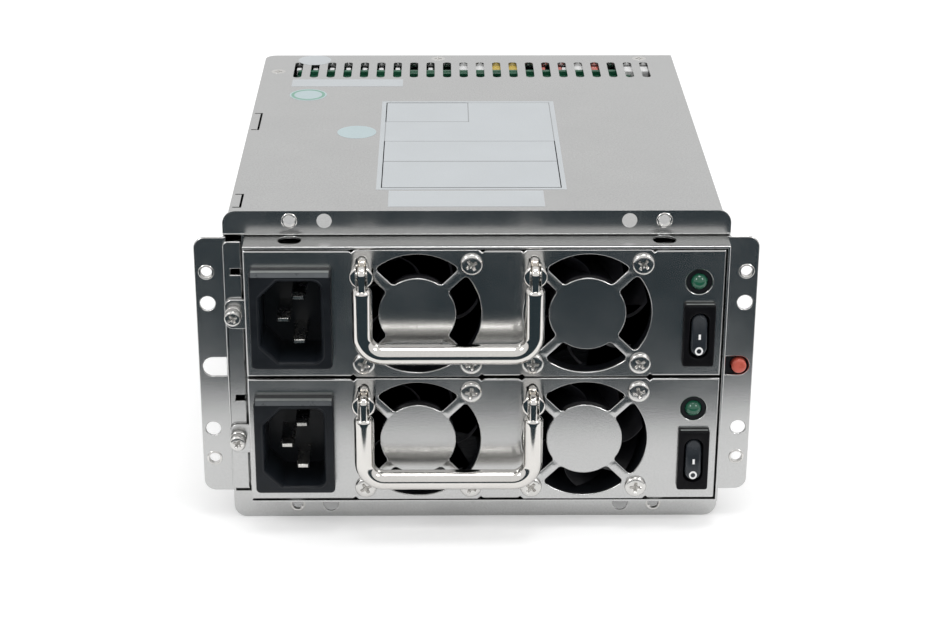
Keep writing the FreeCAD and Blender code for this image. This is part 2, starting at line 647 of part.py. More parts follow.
def top_cover():
    """Roof with its folded flange, vent slots and lances."""
    owner = body("top_cover")
    outline = sketch_on(owner, "XY_Plane", inside_top)
    rectangle(outline, (-half_width, half_width), (fold, back))
    feature(owner, "Pad", outline, S.sheet)
    row = sketch_on(owner, "XY_Plane", half_height)
    first = S.vent_shift - S.vent_pitch * (S.vent_count - 1) / 2
    rear = back - S.vent_inset
    rectangle(row, about(first, S.vent_width), (rear - S.vent_length, rear))
    feature(owner, "Pocket", row, 2 * S.sheet)
    ends = [
        ("z", {"x": first + side * S.vent_width / 2, "y": y})
        for side in (-1, 1)
        for y in (rear - S.vent_length, rear)
    ]
    soften(owner, S.vent_width / 2 - TINY, "Fillet", *ends)
    slot, softened = owner.Group[-2], owner.Group[-1]
    repeat = owner.newObject("PartDesign::LinearPattern", "LinearPattern")
    repeat.Originals = [slot, softened]
    repeat.Direction = (row, ["H_Axis"])
    bind(repeat, "Length", S.vent_pitch * (S.vent_count - 1))
    bind(repeat, "Occurrences", S.vent_count)
    owner.Tip = repeat
    top = half_height + S.flange_rise
    ends = (-half_width, half_width)
    upright = box(ends, (0.0, S.sheet), (inside_top + fold, top))
    flange = rounded(upright, S.flange_corner, *[("y", {"x": x, "z": top}) for x in ends])
    level = inside_top + fold
    outer = cylinder("x", fold, (-half_width, fold, level), S.cage_width)
    inner = cylinder("x", S.bend_radius, (-half_width - OVER, fold, level), S.cage_width + 2 * OVER)
    corner = box(ends, (0.0, fold), (inside_top, level))
    crease = cut(common(outer, corner), inner)
    tools = []
    for side in (-1, 1):
        level = half_height + S.flange_hole_rise
        tools.append(plain_hole(side * S.flange_hole_spread, level))
        tools.append(threaded_hole(side * S.flange_screw_spread, level))
    through = (inside_top - OVER, half_height + OVER)
    left = -half_width + S.lance_edge
    right = left + S.lance_width
    for near, length in ((S.front_lance, S.front_lance_length), (S.rear_lance, S.rear_lance_length)):
        far = near + length
        tools.append(box((left, right), (near, near + S.lance_slit), through))
        tools.append(box((left, right), (far - S.lance_slit, far), through))
        tools.append(box((right - S.lance_slit, right), (near, far), through))
    for x, y in [side_screw, *rear_screws]:
        tools.append(cylinder("z", S.small_screw, (x, y, inside_top - OVER), S.sheet + 2 * OVER))
        tools.append(cone("z", S.small_screw, S.cover_screw_head, (x, y, inside_top), S.sheet))
    roof = fused(owner, flange, crease)
    whole = cut(roof, *tools)
    node(rounded(whole, S.cover_corner, ("z", {"x": -half_width, "y": back})), "top_cover")


def bay_liner():
    """The lip at the front with its holes, and the tube that the supplies slide in."""
    rear = board_face - S.liner_room
    tube = cut(
        box((liner_left, liner_right), (front, rear), (-inside_top, inside_top)),
        box((liner_left + S.sheet, liner_right - S.sheet), (front - OVER, rear + OVER), (-bay_top, bay_top)),
    )
    recess = box((liner_left - OVER, supply_left), (front - OVER, S.lip_recess), (-half_height, half_height))
    low = -inside_top - OVER
    holes = [
        cylinder("z", S.lip_hole_radius, (x, front + S.lip_hole_setback, low), 2 * (inside_top + OVER))
        for x in (-S.lip_hole_spread, S.lip_hole_spread)
    ]
    lip = cut(tube, recess, *holes)
    edges = [("x", {"y": front, "z": side * inside_top}) for side in (-1, 1)]
    edges.append(("z", {"x": liner_right, "y": front}))
    node(rounded(lip, S.sheet / 2, *edges), "bay_liner")


def lock_bracket():
    """Upright strip that the lock screws turn into, with a leg along the liner."""
    left = -half_width - S.bracket_overlap
    face = -S.bracket_sheet
    strip = rounded(
        box((left, liner_left), (face, 0.0), (-bracket_half, bracket_half)),
        S.bracket_corner,
        *[("y", {"x": left, "z": z}) for z in (-bracket_half, bracket_half)],
    )
    leg_half = bracket_half - S.bracket_leg_room
    leg = box((liner_left - S.bracket_sheet, liner_left), (face, S.bracket_leg), (-leg_half, leg_half))
    tools = []
    for side in (-1, 1):
        middle = side * bay_middle
        deep = S.bracket_sheet + 2 * OVER
        tools.append(cylinder("y", S.small_hole, (lock_x, face - OVER, middle - S.tab_drop), deep))
        notch = (liner_left - S.bracket_notch_depth, liner_left + OVER)
        level = about(middle + S.bracket_notch_rise, S.bracket_notch)
        tools.append(box(notch, (face - OVER, S.bracket_notch_depth), level))
    node(cut(fused(strip, leg), *tools), "lock_bracket")


def bay_divider():
    """Shelf between the two supplies."""
    span = (liner_left + S.sheet, liner_right - S.sheet)
    depth = (fan_back + S.divider_gap, board_face - S.liner_room)
    node(box(span, depth, about(0.0, S.divider_sheet)), "bay_divider")


def rear_panel():
    """Rear wall with the cable outlet, the pressed standoffs and a ledge for the cover screws."""
    wide = (-liner_right, liner_right)
    inner = back - S.sheet
    wall = box(wide, (inner, back), (-inside_top, inside_top))
    ledge = box(wide, (inner - S.cover_ledge, inner), (inside_top - S.sheet, inside_top))
    level = inside_top - S.standoff_level
    standoffs = [
        cylinder("y", S.standoff_radius, (x, board_face + S.board_sheet, z), S.rear_room)
        for x in (backplane_ends[0] + S.standoff_inset, backplane_ends[1] - S.standoff_inset)
        for z in (-level, level)
    ]
    outlet = cylinder("y", S.outlet_radius, (0.0, inner - OVER, -S.outlet_drop), S.sheet + 2 * OVER)
    screws = [
        cylinder("z", S.small_screw, (x, y, inside_top - S.sheet - OVER), S.sheet + 2 * OVER)
        for x, y in rear_screws
    ]
    node(cut(fused(wall, ledge, *standoffs), outlet, *screws), "rear_panel")


def cable_grommet():
    """Rubber ring in the cable outlet."""
    owner = body("cable_grommet")
    profile = sketch_on(owner, "XY_Plane")
    inner, groove = S.grommet_bore, S.outlet_radius
    outer = S.outlet_radius + S.grommet_lip
    near, far = back - S.sheet - S.grommet_sheet, back + S.grommet_sheet
    polygon(
        profile,
        [
            (inner, near),
            (outer, near),
            (outer, back - S.sheet),
            (groove, back - S.sheet),
            (groove, back),
            (outer, back),
            (outer, far),
            (inner, far),
        ],
    )
    ring = feature(owner, "Revolution", profile)
    ring.ReferenceAxis = (profile, ["V_Axis"])
    bind(ring, "Angle", 360.0)
    node(owner, "cable_grommet", -S.outlet_drop)


def backplane():
    """Board that joins both supplies, with its sockets, capacitors and buzzer."""
    half = inside_top - S.board_margin
    rear = board_face + S.board_sheet
    deep = (board_face, rear)
    board = box(backplane_ends, deep, (-half, half))
    middle = (backplane_ends[0] + backplane_ends[1]) / 2
    tongue = box(about(middle, S.backplane_tongue), deep, (half - OVER, half + S.backplane_step))
    node(fused(board, tongue), "backplane_board")
    sockets = []
    tongue_gap = 2 * S.connector_gap
    for side in (-1, 1):
        middle = side * bay_middle - S.connector_drop
        block = box(
            about(0.0, S.connector_width + 2 * S.connector_ends),
            (board_face - S.socket_block, board_face),
            about(middle, S.connector_height + 2 * S.connector_rim),
        )
        mouth = box(
            about(0.0, S.connector_width + tongue_gap),
            (board_face - S.socket_block - OVER, board_face - S.socket_block + S.finger_depth),
            about(middle, S.connector_height + tongue_gap),
        )
        sockets.append(cut(block, mouth))
    node(group(*sockets), "backplane_sockets")
    cans = [
        cylinder("y", S.can_radius, (x * S.can_radius, rear, half - S.can_drop), S.can_length)
        for x in CAN_STEPS
    ]
    node(group(*cans), "backplane_capacitors")
    level = half - S.can_drop - S.buzzer_hole
    tube = cylinder("y", S.buzzer_radius, (S.buzzer_x, rear, level), S.buzzer_length)
    pit = cylinder("y", S.buzzer_hole, (S.buzzer_x, rear + S.buzzer_length - OVER, level), 2 * OVER)
    node(cut(tube, pit), "alarm_buzzer")


def cover_screws():
    """Countersunk screws of the cover."""
    screws = []
    deep = (half_height - RECESS_DEPTH * S.sheet, half_height + OVER)
    for x, y in [side_screw, *rear_screws]:
        head = cone("z", S.small_screw, S.cover_screw_head, (x, y, inside_top), S.sheet)
        shank = cylinder("z", S.small_screw, (x, y, inside_top - S.cover_screw_length), S.cover_screw_length)
        cross = fused(
            box(about(x, S.cover_screw_head), about(y, S.cover_screw_slot), deep),
            box(about(x, S.cover_screw_slot), about(y, S.cover_screw_head), deep),
        )
        screws.append(cut(fused(head, shank), cross))
    node(group(*screws), "cover_screws")


def alarm_button():
    """Push button in the right ear's notch, and the switch body behind the ear."""
    x = ear_hole_x - S.button_shift
    near = S.sheet
    size = S.button_body
    housing = box((half_width, half_width + size), (near, near + size), about(0.0, size))
    bore = cylinder("y", S.button_radius + S.button_gap, (x, near - OVER, 0.0), S.button_bore + OVER)
    node(cut(housing, bore), "alarm_switch_body")
    length = S.button_stand + near + S.button_bore - S.button_room
    stem = cylinder("y", S.button_radius, (x, -S.button_stand, 0.0), length)
    node(round_rims(stem, S.button_round, "y", -S.button_stand), "alarm_button")


def guard_opening(x):
    """The four openings of a fan guard."""
    deep = S.plate_sheet + 2 * OVER
    ring = cut(
        cylinder("y", fan_bore, (0.0, 0.0, 0.0), deep),
        cylinder("y", S.guard_disc, (0.0, -OVER, 0.0), deep + 2 * OVER),
    )
    webs = fused(
        box(about(0.0, 3 * fan_bore), (-OVER, deep + OVER), about(0.0, S.guard_web)),
        box(about(0.0, S.guard_web), (-OVER, deep + OVER), about(0.0, 3 * fan_bore)),
    )
    webs.Placement = FreeCAD.Placement(Vector(), Rotation(Vector(0, 1, 0), 45))
    sectors = rounded(cut(ring, webs), S.guard_corner, ("y", {}))
    return put(sectors, x, front - OVER, 0.0)


def plate_edges():
    """Spans of the front plate's folded edges: a low and a high X each."""
    first, second = fan_places["left"], fan_places["right"]
    side = fan_bore + S.guard_side_gap
    return [(supply_left, first - side), (first + side, second - side), (second + side, supply_right)]


def fan_screw_places():
    """Where the fan screws stand: three of each fan's corners, the fourth is a handle post."""
    spread = fan_spread
    return [
        (x + side * spread, level * spread)
        for x in fan_places.values()
        for side, level in ((1, 1), (-1, -1), (1, -1))
    ]


def post_places():
    """Where the handle posts stand, at the upper left corner of each fan."""
    return [(x - fan_spread, fan_spread) for x in fan_places.values()]


def front_plate(label, rise):
    """Folded front of a supply, with both fan guards and the lock tab."""
    through = (front - OVER, plate_back + OVER)
    face = box((supply_left, supply_right), (front, plate_back), (-plate_half, plate_half))
    folds, reliefs = [], []
    for low, high in plate_edges():
        for side in (-1, 1):
            inner, outer = sorted((side * (pan_half - S.plate_sheet), side * pan_half), key=float)
            folds.append(box((low, high), (front, front + S.plate_fold), (inner, outer)))
            inner, outer = sorted((side * pan_half, side * (plate_half + OVER)), key=float)
            reliefs.append(box((low, high), through, (inner, outer)))
            for x in (low, high):
                if TINY < abs(float(x - supply_left)) and TINY < abs(float(x - supply_right)):
                    deep = (front - OVER, front + S.plate_fold + OVER)
                    notch = group(box(about(0.0, S.relief), deep, about(0.0, S.relief)))
                    reliefs.append(put(notch, x, 0.0, side * plate_half, turn=Rotation(Vector(0, 1, 0), 45)))
    walls = [
        box((x, x + S.plate_sheet), (front, front + S.plate_fold), (-casing_half, casing_half))
        for x in (supply_left, supply_right - S.plate_sheet)
    ]
    tab_left = supply_left - S.tab_reach
    levels = about(-S.tab_drop, S.tab_height)
    tab = box((tab_left, supply_left + S.plate_sheet), (tab_front, tab_front + S.plate_sheet), levels)
    tab = rounded(tab, S.tab_corner, *[("y", {"x": tab_left, "z": z}) for z in levels])
    link = box((supply_left, supply_left + S.plate_sheet), (front, tab_front + S.plate_sheet), levels)
    shell = cut(fused(face, *folds, *walls, tab, link), *reliefs)
    picks = [("x", {"y": front, "z": side * pan_half}) for side in (-1, 1)]
    picks += [("z", {"x": x, "y": front}) for x in (supply_left, supply_right)]
    shell = rounded(shell, BEND_ROUND * S.plate_sheet, *picks)
    inlet_x = supply_left + S.inlet_centre
    inlet_hole = box(
        about(inlet_x, S.inlet_width - 2 * S.inlet_rim),
        through,
        about(-S.inlet_drop, S.inlet_height - 2 * S.inlet_rim),
    )
    switch_x = supply_right - S.switch_inset
    switch_hole = box(
        about(switch_x, S.switch_width - 2 * S.switch_rim),
        through,
        about(switch_level, S.switch_height - 2 * S.switch_rim),
    )
    deep = S.plate_sheet + 2 * OVER
    holes = [cylinder("y", S.small_hole, (x, front - OVER, z), deep) for x, z in fan_screw_places()]
    holes += [cylinder("y", S.post_stud, (x, front - OVER, z), deep) for x, z in post_places()]
    holes.append(cylinder("y", S.led_hole, (supply_right - S.led_inset, front - OVER, lamp_level), deep))
    holes.append(cylinder("y", S.small_hole, (lock_x, tab_front - OVER, -S.tab_drop), deep))
    guards = [guard_opening(x) for x in fan_places.values()]
    node(cut(shell, inlet_hole, switch_hole, *holes, *guards), label, rise)


def fan_bay(reach):
    """The space at the front of a casing that the fans take."""
    room = S.fan_size / 2 + S.fan_bay_room
    across = (fan_places["left"] - room, fan_places["right"] + room)
    return box(across, (plate_back - OVER, fan_back + S.fan_bay_room), reach)


def casing(label, rise):
    """Floor, side walls and rear wall of a supply, with bosses for the main board."""
    near = plate_back
    outer = box((casing_left, casing_right), (near, casing_back), (-casing_half, casing_half - S.sheet))
    hollow = box(
        (casing_left + S.sheet, casing_right - S.sheet),
        (near - OVER, casing_back - S.sheet),
        (-casing_half + S.sheet, casing_half + OVER),
    )
    floor = -casing_half + S.sheet
    bosses = [
        cylinder("z", S.boss_radius, (x, y, floor - TINY), S.mcb_rise - S.sheet + TINY)
        for x in (casing_left + S.boss_inset, casing_right - S.boss_inset)
        for y in (fan_back + S.boss_setback, casing_back - S.boss_setback)
    ]
    rear = (casing_back - S.sheet - OVER, casing_back + OVER)
    room = 2 * S.connector_gap
    plug = box(
        about(0.0, S.connector_width + room), rear, about(-S.connector_drop, S.connector_height + room)
    )
    vents = [
        box(about(side * (S.casing_vent_start + step * S.casing_vent_pitch), S.casing_vent), rear,
            about(0.0, S.casing_vent_height))
        for side in (-1, 1)
        for step in range(5)
    ]
    shell = cut(outer, hollow, fan_bay((-casing_half - OVER, 0.0)), plug, *vents)
    node(fused(shell, *bosses), label, rise)


def lid(label, rise):
    """Roof of a supply, with a lip down each side inside the casing."""
    near = plate_back
    top = (casing_half - S.sheet, casing_half)
    roof = box((casing_left, casing_right), (near, casing_back), top)
    inner = casing_left + S.sheet
    outer = casing_right - S.sheet
    length = (fan_back + S.lid_lip_room, casing_back - S.lid_lip_room)
    lips = [
        box((x, x + S.sheet), length, (casing_half - S.lid_lip, casing_half - S.sheet))
        for x in (inner, outer - S.sheet)
    ]
    node(cut(fused(roof, *lips), fan_bay((0.0, casing_half + OVER))), label, rise)


def inlet_housing(label, rise):
    """Moulded mains inlet: a frame in front of the plate and a body through it."""
    owner = body(label)
    x, level = supply_left + S.inlet_centre, -S.inlet_drop
    face = front - S.inlet_stand
    frame = sketch_on(owner, "XZ_Plane", -front)
    rectangle(frame, about(x, S.inlet_width), about(level, S.inlet_height))
    feature(owner, "Pad", frame, S.inlet_stand)
    corners = [
        ("y", {"x": side, "z": end})
        for side in about(x, S.inlet_width)
        for end in about(level, S.inlet_height)
    ]
    soften(owner, S.inlet_corner, "Fillet", *corners)
    stem = sketch_on(owner, "XZ_Plane", -front)
    wide, tall = S.inlet_width - 2 * S.inlet_rim, S.inlet_height - 2 * S.inlet_rim
    rectangle(stem, about(x, wide), about(level, tall))
    feature(owner, "Pad", stem, S.inlet_depth, backwards=True)
    soften(owner, S.inlet_bevel, "Chamfer", ("x", {"y": face, "z": level + S.inlet_height / 2}))
    mouth = sketch_on(owner, "XZ_Plane", -face)
    left, right = about(x, S.inlet_width - 2 * S.socket_side)
    low, high = about(level, S.inlet_height - 2 * S.socket_end)
    slope = S.socket_chamfer
    polygon(
        mouth,
        [
            (left + slope, low),
            (right, low),
            (right, high),
            (left + slope, high),
            (left, high - slope),
            (left, low + slope),
        ],
    )
    feature(owner, "Pocket", mouth, S.socket_depth)
    soften(owner, S.socket_corner, "Fillet", *[("y", {"x": right, "z": end}) for end in (low, high)])
    slots = sketch_on(owner, "XZ_Plane", -face)
    for pin_x, pin_z in blade_places(x, level):
        rectangle(slots, about(pin_x, S.pin_width), about(pin_z, S.pin_sheet))
    feature(owner, "Pocket", slots, S.inlet_depth + S.inlet_stand + OVER)
    node(owner, label, rise)


def blade_places(x, level):
    """Centres of the live, neutral and earth blades."""
    return [
        (x + S.pin_offset, level + S.pin_pitch / 2),
        (x + S.pin_offset, level - S.pin_pitch / 2),
        (x - S.pin_offset, level),
    ]


def inlet_pins(label, rise):
    """Blades of the inlet, with tapered tips."""
    tip = front - S.inlet_stand + S.pin_recess
    end = front + S.inlet_depth + S.pin_tail
    blades = []
    for x, z in blade_places(supply_left + S.inlet_centre, -S.inlet_drop):
        blade = doc.addObject("Part::Wedge", "Blade")
        taper = S.pin_taper
        small = S.pin_point
        for name, value in (
            ("Xmin", x - S.pin_width / 2 + small), ("Xmax", x + S.pin_width / 2 - small),
            ("Zmin", z - S.pin_sheet / 2 + small), ("Zmax", z + S.pin_sheet / 2 - small),
            ("X2min", x - S.pin_width / 2), ("X2max", x + S.pin_width / 2),
            ("Z2min", z - S.pin_sheet / 2), ("Z2max", z + S.pin_sheet / 2),
            ("Ymin", tip), ("Ymax", tip + taper),
        ):
            bind(blade, name, value)
        stalk = box(about(x, S.pin_width), (tip + taper, end), about(z, S.pin_sheet))
        blades.append(fused(blade, stalk))
    node(group(*blades), label, rise)


def fan_frame(label, rise, x):
    """Square fan frame with its motor mount on four struts at the rear."""
    owner = body(label)
    half = S.fan_size / 2
    square = sketch_on(owner, "XZ_Plane", -plate_back)
    rectangle(square, about(x, S.fan_size), (-half, half))
    feature(owner, "Pad", square, S.fan_depth, backwards=True)
    corners = [("y", {"x": side, "z": end}) for side in about(x, S.fan_size) for end in (-half, half)]
    soften(owner, S.fan_corner, "Fillet", *corners)
    bore = sketch_on(owner, "XZ_Plane", -plate_back)
    circle(bore, x, 0.0, fan_bore)
    feature(owner, "Pocket", bore, S.fan_depth + OVER)
    holes = sketch_on(owner, "XZ_Plane", -plate_back)
    for side in (-1, 1):
        for level in (-1, 1):
            circle(holes, x + side * fan_spread, level * fan_spread, S.small_hole)
    feature(owner, "Pocket", holes, S.fan_depth + OVER)
    between = (plate_back + S.fan_flange, fan_back - S.fan_flange)
    sleeve = cylinder("y", fan_bore + S.fan_wall, (x, plate_back, 0.0), S.fan_depth)
    waist = cut(box(about(x, 2 * S.fan_size), between, about(0.0, 2 * S.fan_size)), sleeve)
    reach = 2 * fan_bore + S.fan_wall
    deep = (fan_back - S.strut, fan_back)
    bars = [
        box(about(x, reach), deep, about(0.0, S.strut)),
        box(about(x, S.strut), deep, about(0.0, reach)),
    ]
    mount = cylinder("y", S.hub_radius, (x, fan_back - S.strut, 0.0), S.strut)
    bush_length = S.motor_room - S.rotor_edge
    bush = cylinder("y", S.bush_radius, (x, fan_back - bush_length, 0.0), bush_length)
    bearing = cylinder(
        "y", S.shaft_radius + S.bush_gap, (x, fan_back - S.motor_room, 0.0), S.motor_room - OVER
    )
    node(cut(fused(cut(owner, waist), *bars, mount, bush), bearing), label, rise)


def bowed_band(drawing, chord, start, depth):
    """Section of a blade: two equal arcs, a blade's thickness apart, that lean over the chord."""
    thick, bow = S.blade_sheet, S.blade_bow
    span = chord - thick
    radius = ((span * span + depth * depth) / 4 + bow * bow) / (2 * bow)
    heading = math.atan2(float(depth), float(span))
    inward = Vector(math.sin(heading), -math.cos(heading), 0) * float(radius - bow)
    half_turn = math.asin(math.hypot(float(span), float(depth)) / 2 / float(radius))
    middle_angle = heading + math.pi / 2
    offset = thick / 2
    for shift in (-offset, offset):
        centre = Vector(float(shift), float(start + depth / 2), 0) + inward
        circle = Part.Circle(centre, Vector(0, 0, 1), float(radius))
        drawing.addGeometry(Part.ArcOfCircle(circle, middle_angle - half_turn, middle_angle + half_turn))
    low = [(shift - span / 2, start) for shift in (-offset, offset)]
    high = [(shift + span / 2, start + depth) for shift in (-offset, offset)]
    for first, second in (low, high):
        ends = [Vector(float(x), float(y), 0) for x, y in (first, second)]
        drawing.addGeometry(Part.LineSegment(*ends))
    # an arc runs against the clock, from its high end to its low end
    for arc in (0, 1):
        drawing.addConstraint(Sketcher.Constraint("Coincident", arc, 2, 2, arc + 1))
        drawing.addConstraint(Sketcher.Constraint("Coincident", arc, 1, 3, arc + 1))
        number = drawing.addConstraint(Sketcher.Constraint("Radius", arc, float(radius)))
        bind(drawing, f"Constraints[{number}]", radius)
    for line, places in ((2, low), (3, high)):
        for line_end, (x, y) in enumerate(places, 1):
            hold(drawing, "DistanceX", line, line_end, x)
            hold(drawing, "DistanceY", line, line_end, y)


def fan_rotor(label, rise, x):
    """Rotor: hub, shaft and swept blades on one axis."""
    owner = body(label)
    profile = sketch_on(owner, "YZ_Plane")
    near = plate_back + S.rotor_setback
    far = fan_back - S.motor_room
    tail = fan_back - S.shaft_tail
    hub = S.hub_radius
    polygon(
        profile,
        [
            (near, 0.0),
            (near, hub - S.rotor_edge),
            (near + S.rotor_edge, hub),
            (far, hub),
            (far, S.shaft_radius),
            (tail, S.shaft_radius),
            (tail, 0.0),
        ],
    )
    spin = feature(owner, "Revolution", profile)
    spin.ReferenceAxis = (profile, ["H_Axis"])
    bind(spin, "Angle", 360.0)
    doc.recompute()
    sections = []
    tip = fan_bore - S.fan_clearance
    start = near + 2 * S.rotor_edge
    # the blade's flat end stays inside the tip circle
    for height, chord in ((hub - S.blade_sheet, S.blade_root), (BLADE_END * tip, S.blade_tip)):
        section = sketch_on(owner, "XY_Plane", height)
        bowed_band(section, chord, start, S.blade_depth)
        sections.append(section)
    blade = owner.newObject("PartDesign::AdditiveLoft", "Blade")
    blade.Profile = sections[0]
    blade.Sections = [sections[1]]
    blade.Ruled = True
    owner.Tip = blade
    turn = owner.newObject("PartDesign::PolarPattern", "PolarPattern")
    turn.Originals = [blade]
    turn.Axis = (profile, ["H_Axis"])
    bind(turn, "Angle", 360.0)
    bind(turn, "Occurrences", S.blade_count)
    owner.Tip = turn
    put(owner, x, 0.0, 0.0)
    node(owner, label, rise)


def pan_head(x, face, z, radius, height):
    """A screw head in front of a face, with a rounded rim and a cross recess."""
    tip = face - height
    head = round_rims(cylinder("y", radius, (x, tip, z), height), HEAD_ROUND * height, "y", tip)
    deep = (tip - OVER, tip + RECESS_DEPTH * height)
    slots = [
        box(about(x, S.recess_span), deep, about(z, S.recess_slot)),
        box(about(x, S.recess_slot), deep, about(z, S.recess_span)),
    ]
    return cut(head, *slots)


def fan_screws(label, rise):
    """Screws that hold both fans to the front plate."""
    screws = [
        fused(
            pan_head(x, front, z, S.fan_screw_head, S.fan_screw_rise),
            cylinder("y", S.small_screw, (x, front, z), S.fan_screw_length),
        )
        for x, z in fan_screw_places()
    ]
    node(group(*screws), label, rise)


def lock_screw(label, rise):
    """Captive screw of the lock tab: collar, neck and head."""
    z = -S.tab_drop
    neck_end = tab_front - S.lock_collar_sheet - S.lock_neck_length
    collar = cylinder("y", S.lock_collar, (lock_x, tab_front - S.lock_collar_sheet, z), S.lock_collar_sheet)
    neck = cylinder("y", S.lock_neck, (lock_x, neck_end, z), S.lock_neck_length)
    head = pan_head(lock_x, neck_end, z, S.lock_head, S.lock_head_rise)
    shank = cylinder("y", S.small_screw, (lock_x, tab_front, z), S.lock_length)
    node(fused(head, neck, collar, shank), label, rise)


def handle_posts(label, rise):
    """Slotted posts that carry the handle, each with a stud through the plate."""
    posts = []
    for x, z in post_places():
        tip = front - S.post_length
        rod = round_rims(cylinder("y", S.post_radius, (x, tip, z), S.post_length), S.post_round, "y", tip)
        stud = cylinder("y", S.post_stud, (x, front, z), S.plate_sheet)
        bolt = cylinder("y", S.small_screw, (x, plate_back, z), S.post_bolt)
        room = S.tongue_radius + S.tongue_room
        slot = box(about(x, S.post_slot), (tip - OVER, handle_y), about(z, 4 * S.post_radius))
        end = cylinder("x", room, (x - S.post_slot / 2, handle_y, z), S.post_slot)
        shoulder = box(about(x, S.post_slot), (handle_y - OVER, handle_y + room), (z - 2 * S.post_radius, z))
        bore = cylinder("x", S.handle_pin, (x - 2 * S.post_radius, handle_y, z), 4 * S.post_radius)
        posts.append(cut(fused(rod, stud, bolt), slot, end, shoulder, bore))
    node(group(*posts), label, rise)


def handle_pins(label, rise):
    """Cross pins of the handle, each inside its post."""
    reach = S.post_radius - S.pin_end
    pins = [cylinder("x", S.handle_pin, (x - reach, handle_y, z), 2 * reach) for x, z in post_places()]
    node(group(*pins), label, rise)


def handle(label, rise):
    """Bail handle: two legs and a bar of one bent rod, with flat tongues on its pins."""
    (left, top), (right, _) = post_places()
    bar = top - S.handle_drop
    bend = S.handle_bend
    shoulder = top - S.tongue_length
    legs, tongues, bores = [], [], []
    for x in (left, right):
        rod = cylinder("z", S.handle_radius, (x, handle_y, bar + bend), shoulder - bar - bend)
        legs.append(round_rims(rod, S.leg_round, "z", shoulder))
        root = shoulder - S.tongue_root
        neck = box(about(x, S.tongue_sheet), about(handle_y, 2 * S.tongue_radius), (root, top))
        eye = cylinder("x", S.tongue_radius, (x - S.tongue_sheet / 2, handle_y, top), S.tongue_sheet)
        tongues += [neck, eye]
        bore = S.handle_pin + S.pin_clearance
        bores.append(cylinder("x", bore, (x - S.post_radius, handle_y, top), 2 * S.post_radius))
    span = cylinder("x", S.handle_radius, (left + bend, handle_y, bar), right - left - 2 * bend)
    bends = []
    for x, first in ((right - bend, 0.0), (left + bend, 90.0)):
        elbow = doc.addObject("Part::Torus", "Elbow")
        bind(elbow, "Radius1", bend)
        bind(elbow, "Radius2", S.handle_radius)
        bind(elbow, "Angle3", 90.0)
        turn = TURNS["y"].multiply(Rotation(Vector(0, 0, 1), first))
        bends.append(put(elbow, x, handle_y, bar + bend, turn=turn))
    node(cut(fused(*legs, *tongues, span, *bends), *bores), label, rise)


def stadium(x, y, z_middle, width, height):
    """An upright slot shape that runs from front to rear."""
    low, high = y
    straight = height - width
    return fused(
        box(about(x, width), y, about(z_middle, straight)),
        cylinder("y", width / 2, (x, low, z_middle + straight / 2), high - low),
        cylinder("y", width / 2, (x, low, z_middle - straight / 2), high - low),
    )


def switch(prefix, rise):
    """Rocker switch: a frame with a well, and the rocker on its axle."""
    x, level = supply_right - S.switch_inset, switch_level
    face = front - S.switch_stand
    axis = front + S.rocker_setback
    across, upright = about(x, S.switch_width), about(level, S.switch_height)
    frame = rounded(
        box(across, (face, front), upright),
        S.switch_corner,
        *[("y", {"x": side, "z": end}) for side in across for end in upright],
    )
    stem = box(
        about(x, S.switch_width - 2 * S.switch_rim),
        (front, front + S.switch_depth),
        about(level, S.switch_height - 2 * S.switch_rim),
    )
    well = stadium(x, (face - OVER, face + S.well_depth), level, S.well_width, S.well_height)
    reach = S.well_width / 2 + S.axle_seat
    bore = cylinder("x", S.rocker_axle + S.axle_gap, (x - reach, axis, level), 2 * reach)
    node(cut(fused(frame, stem), well, bore), prefix + "switch_housing", rise)
    owner = body(prefix + "rocker")
    side = sketch_on(owner, "YZ_Plane", -S.well_width)
    end = S.well_height / 2
    belly = S.rocker_belly
    polygon(
        side,
        [
            (-S.rocker_crown, 0.0),
            (-S.rocker_end, end),
            (S.rocker_back, end),
            (belly, belly),
            (belly, -belly),
            (S.rocker_back, -end),
            (-S.rocker_end, -end),
        ],
    )
    feature(owner, "Pad", side, 2 * S.well_width)
    column = stadium(
        0.0,
        (-S.well_depth, S.well_depth),
        0.0,
        S.well_width - 2 * S.rocker_gap,
        S.well_height - 4 * S.rocker_gap,
    )
    half_axle = reach - S.axle_play
    axle = cylinder("x", S.rocker_axle, (-half_axle, 0.0, 0.0), 2 * half_axle)
    rocker = fused(common(owner, column), axle)
    put(rocker, x, axis, level, turn=Rotation(Vector(1, 0, 0), float(S.rocker_tilt)))
    node(rocker, prefix + "switch_rocker", rise + level)


def status_led(prefix, rise):
    """Lamp with a domed end, in a black holder behind the plate."""
    x = supply_right - S.led_inset
    seat = front + S.led_recess
    radius = S.led_radius
    dome = front - S.led_stand + radius
    ball = doc.addObject("Part::Sphere", "Ball")
    bind(ball, "Radius", radius)
    put(ball, x, dome, 0.0)
    lamp = fused(ball, cylinder("y", radius, (x, dome, 0.0), seat + S.led_length - dome))
    node(lamp, prefix + "status_led", rise + lamp_level)
    cup = fused(
        cylinder("y", S.led_hole, (x, seat - S.holder_sheet, 0.0), plate_back - seat + S.holder_sheet),
        cylinder("y", S.led_hole + S.holder_rim, (x, plate_back, 0.0), S.holder_depth),
    )
    bore = cylinder("y", radius, (x, seat - OVER, 0.0), S.holder_depth + 3 * OVER)
    node(cut(cup, bore), prefix + "led_holder", rise + lamp_level)


